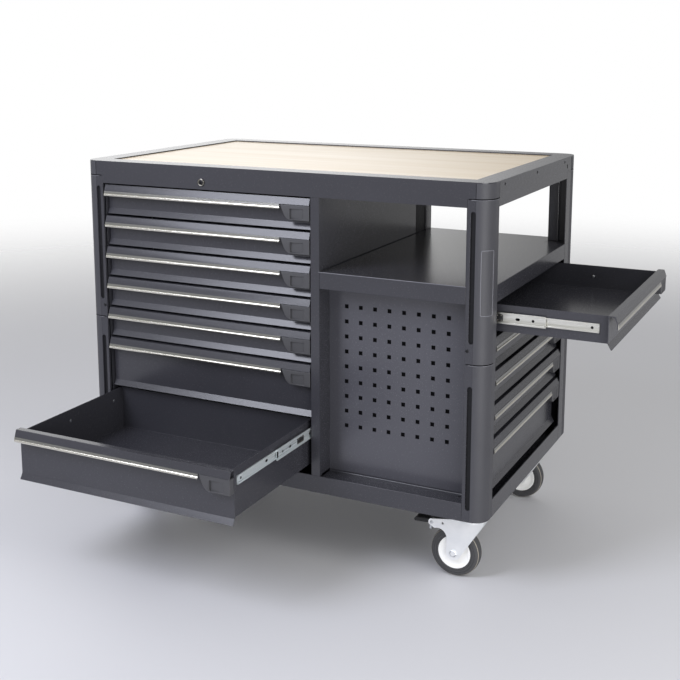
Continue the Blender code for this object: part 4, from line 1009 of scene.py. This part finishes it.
def brakeFittings(corner):
    # rivet domes on the horns, ribs as small circles carried across the foot plate, and a turned set screw
    hinge = jointAt[corner + "_brake"]
    outward = 1.0 if corner.endswith("left") else -1.0
    dome = domeProfile(fitting["rivetRadius"], fitting["rivetHeight"])
    rivets = [turnedGrid(dome, hinge + np.array((0.0, side * fitting["outer"], 0.0)), (0, side, 0),
                         fitting["rivetSteps"]) for side in (-1, 1)]
    makePiece(corner + "_horn_rivets", rivets, zinc, corner + "_fork", capEnds=False)
    place = np.array(fitting["ribPlaces"])[:, None, None]
    side = np.array([-1.0, 1.0])[None, :, None] * fitting["ribHalf"]
    turn = fullTurn(fitting["ribSteps"])[None, None, :]
    x = hinge[0] + outward * place + fitting["ribRadius"] * np.cos(turn)
    z = hinge[2] + fitting["ribRise"] - fitting["ribFall"] * place + fitting["ribRadius"] * np.sin(turn)
    ribs = np.stack(np.broadcast_arrays(x, hinge[1] + side, z), -1)
    makePiece(corner + "_pedal_ribs", ribs, blackPlastic, corner + "_pedal")
    reach, radius = fitting["studReach"], fitting["studRadius"]
    nutRadius, nutFoot = fitting["studNut"], reach - fitting["studNutHeight"]
    stud = [(0.0, fitting["studTop"]), (radius, fitting["studTop"]), (radius, nutFoot),
            (nutRadius * 0.9, nutFoot), (nutRadius, nutFoot + fitting["studUpper"]),
            (nutRadius, reach - fitting["studLower"]), (nutRadius * 0.9, reach), (0.0, reach)]
    foot = hinge + np.array((outward * fitting["studOut"], fitting["studAside"], 0.0))
    makePiece(corner + "_set_screw", [turnedGrid(stud, foot, (0, 0, -1), 6)], zinc, corner + "_pedal",
              capEnds=False, smoothAngle=25.0)


for corner in corners:
    casterFittings(corner)
for corner in ("front_left", "front_right"):
    brakeFittings(corner)
print("caster fittings made")


# Floor and light: a pale floor that fades into a white surround
stage = {"floor": "#d2d2d5", "rough": 0.55, "fadeStart": 2.2, "fadeEnd": 6.0, "radius": 9.0, "rings": 12,
         "steps": 72, "world": "#ffffff", "roomLevel": 0.50, "wallLevel": 1.75,
         "wallWay": (-0.70, 0.71, 0.08), "wallStart": 0.86, "wallFull": 0.97}
lamps = {
    "key": {"at": (2.8, -1.0, 2.6), "aim": (0.2, 0.1, 0.5), "size": (2.0, 2.0), "power": 42.0,
            "tint": "#ffffff"},
    "fill": {"at": (2.2, -2.0, 0.52), "aim": (0.3, -0.2, 0.5), "size": (1.9, 0.95), "power": 30.0,
             "tint": "#ffffff"},
    "softbox": {"at": (-1.25, -2.15, 2.35), "aim": (-0.15, -0.1, 0.6), "size": (1.2, 1.7), "power": 62.0,
                "tint": "#eef1ff"},
}


def makeFloor():
    # a flat disc, rings of points about the origin, just under the wheels
    share = np.linspace(0.0, 1.0, stage["rings"])[:, None] * stage["radius"]
    turn = fullTurn(stage["steps"])[None, :]
    points = np.stack(np.broadcast_arrays(share * np.cos(turn), share * np.sin(turn), -hairGap), -1)
    mesh = bpy.data.meshes.new("floor")
    faces = skinFaces(stage["rings"], stage["steps"], False, False)
    mesh.from_pydata(points.reshape(-1, 3).tolist(), [], faces)
    made, tree, place = startMaterial("pale_studio_floor", {"Roughness": stage["rough"],
                                                            "Base Color": linear(stage["floor"])})
    distance = addNode(tree, "ShaderNodeVectorMath", {"operation": "LENGTH"}, None, {0: place})
    fade = addNode(tree, "ShaderNodeMapRange", {"interpolation_type": "SMOOTHSTEP"},
                   {"From Min": stage["fadeStart"], "From Max": stage["fadeEnd"]},
                   {"Value": distance.outputs["Value"]})
    clear = addNode(tree, "ShaderNodeBsdfTransparent")
    shader = tree.nodes["Principled BSDF"]
    mixed = addNode(tree, "ShaderNodeMixShader", None, None,
                    {0: fade.outputs["Result"], 1: shader.outputs[0], 2: clear.outputs[0]})
    tree.links.new(mixed.outputs[0], tree.nodes["Material Output"].inputs["Surface"])
    mesh.materials.append(made)
    addObject("floor", mesh)


def makeWorld():
    # white to the camera; as light it is even, but for a bright wall behind the bench on its left
    world = bpy.data.worlds.new("white_surround")
    bpy.context.scene.world = world
    world.use_nodes = True
    tree = world.node_tree
    way = addNode(tree, "ShaderNodeTexCoord").outputs["Generated"]
    toward = addNode(tree, "ShaderNodeVectorMath", {"operation": "DOT_PRODUCT"}, {1: stage["wallWay"]},
                     {0: way})
    level = addNode(tree, "ShaderNodeMapRange", {"interpolation_type": "SMOOTHSTEP"},
                    {"From Min": stage["wallStart"], "From Max": stage["wallFull"],
                     "To Min": stage["roomLevel"], "To Max": stage["wallLevel"]},
                    {"Value": toward.outputs["Value"]})
    light = tree.nodes["Background"]
    light.inputs["Color"].default_value = linear(stage["world"])
    tree.links.new(level.outputs["Result"], light.inputs["Strength"])
    seen = addNode(tree, "ShaderNodeBackground", None, {"Color": linear(stage["world"]), "Strength": 1.0})
    path = addNode(tree, "ShaderNodeLightPath").outputs["Is Camera Ray"]
    mixed = addNode(tree, "ShaderNodeMixShader", None, None,
                    {0: path, 1: light.outputs[0], 2: seen.outputs[0]})
    tree.links.new(mixed.outputs[0], tree.nodes["World Output"].inputs["Surface"])


def makeLamps():
    for name, lamp in lamps.items():
        light = bpy.data.lights.new(name, "AREA")
        light.shape = "RECTANGLE"
        light.size, light.size_y = lamp["size"]
        light.energy = lamp["power"]
        light.color = linear(lamp["tint"])[:3]
        item = addObject(name, light)
        item.location = lamp["at"]
        item.rotation_euler = (Vector(lamp["aim"]) - Vector(lamp["at"])).to_track_quat("-Z", "Y").to_euler()
        item.visible_camera = False


# Camera: where the bench was seen from, measured from its front right top corner
view = {"offset": (0.7772, -2.3203, 0.3083), "yaw": 0.4599, "down": 0.1771, "focalPx": 1113.8,
        "framePx": 680.0, "centreY": 240.0, "sensor": 36.0}


def makeCamera():
    camera = bpy.data.cameras.new("camera")
    camera.sensor_width = view["sensor"]
    camera.lens = view["focalPx"] * view["sensor"] / view["framePx"]
    camera.shift_y = (view["centreY"] - view["framePx"] / 2) / view["framePx"]
    item = addObject("camera", camera)
    item.location = Vector((right, front, top)) + Vector(view["offset"])
    item.rotation_euler = (math.pi / 2 - view["down"], 0.0, view["yaw"])
    bpy.context.scene.camera = item


makeFloor()
makeWorld()
makeLamps()
makeCamera()
bpy.context.scene.view_settings.view_transform = "Standard"
print("stage, lamps and camera made")
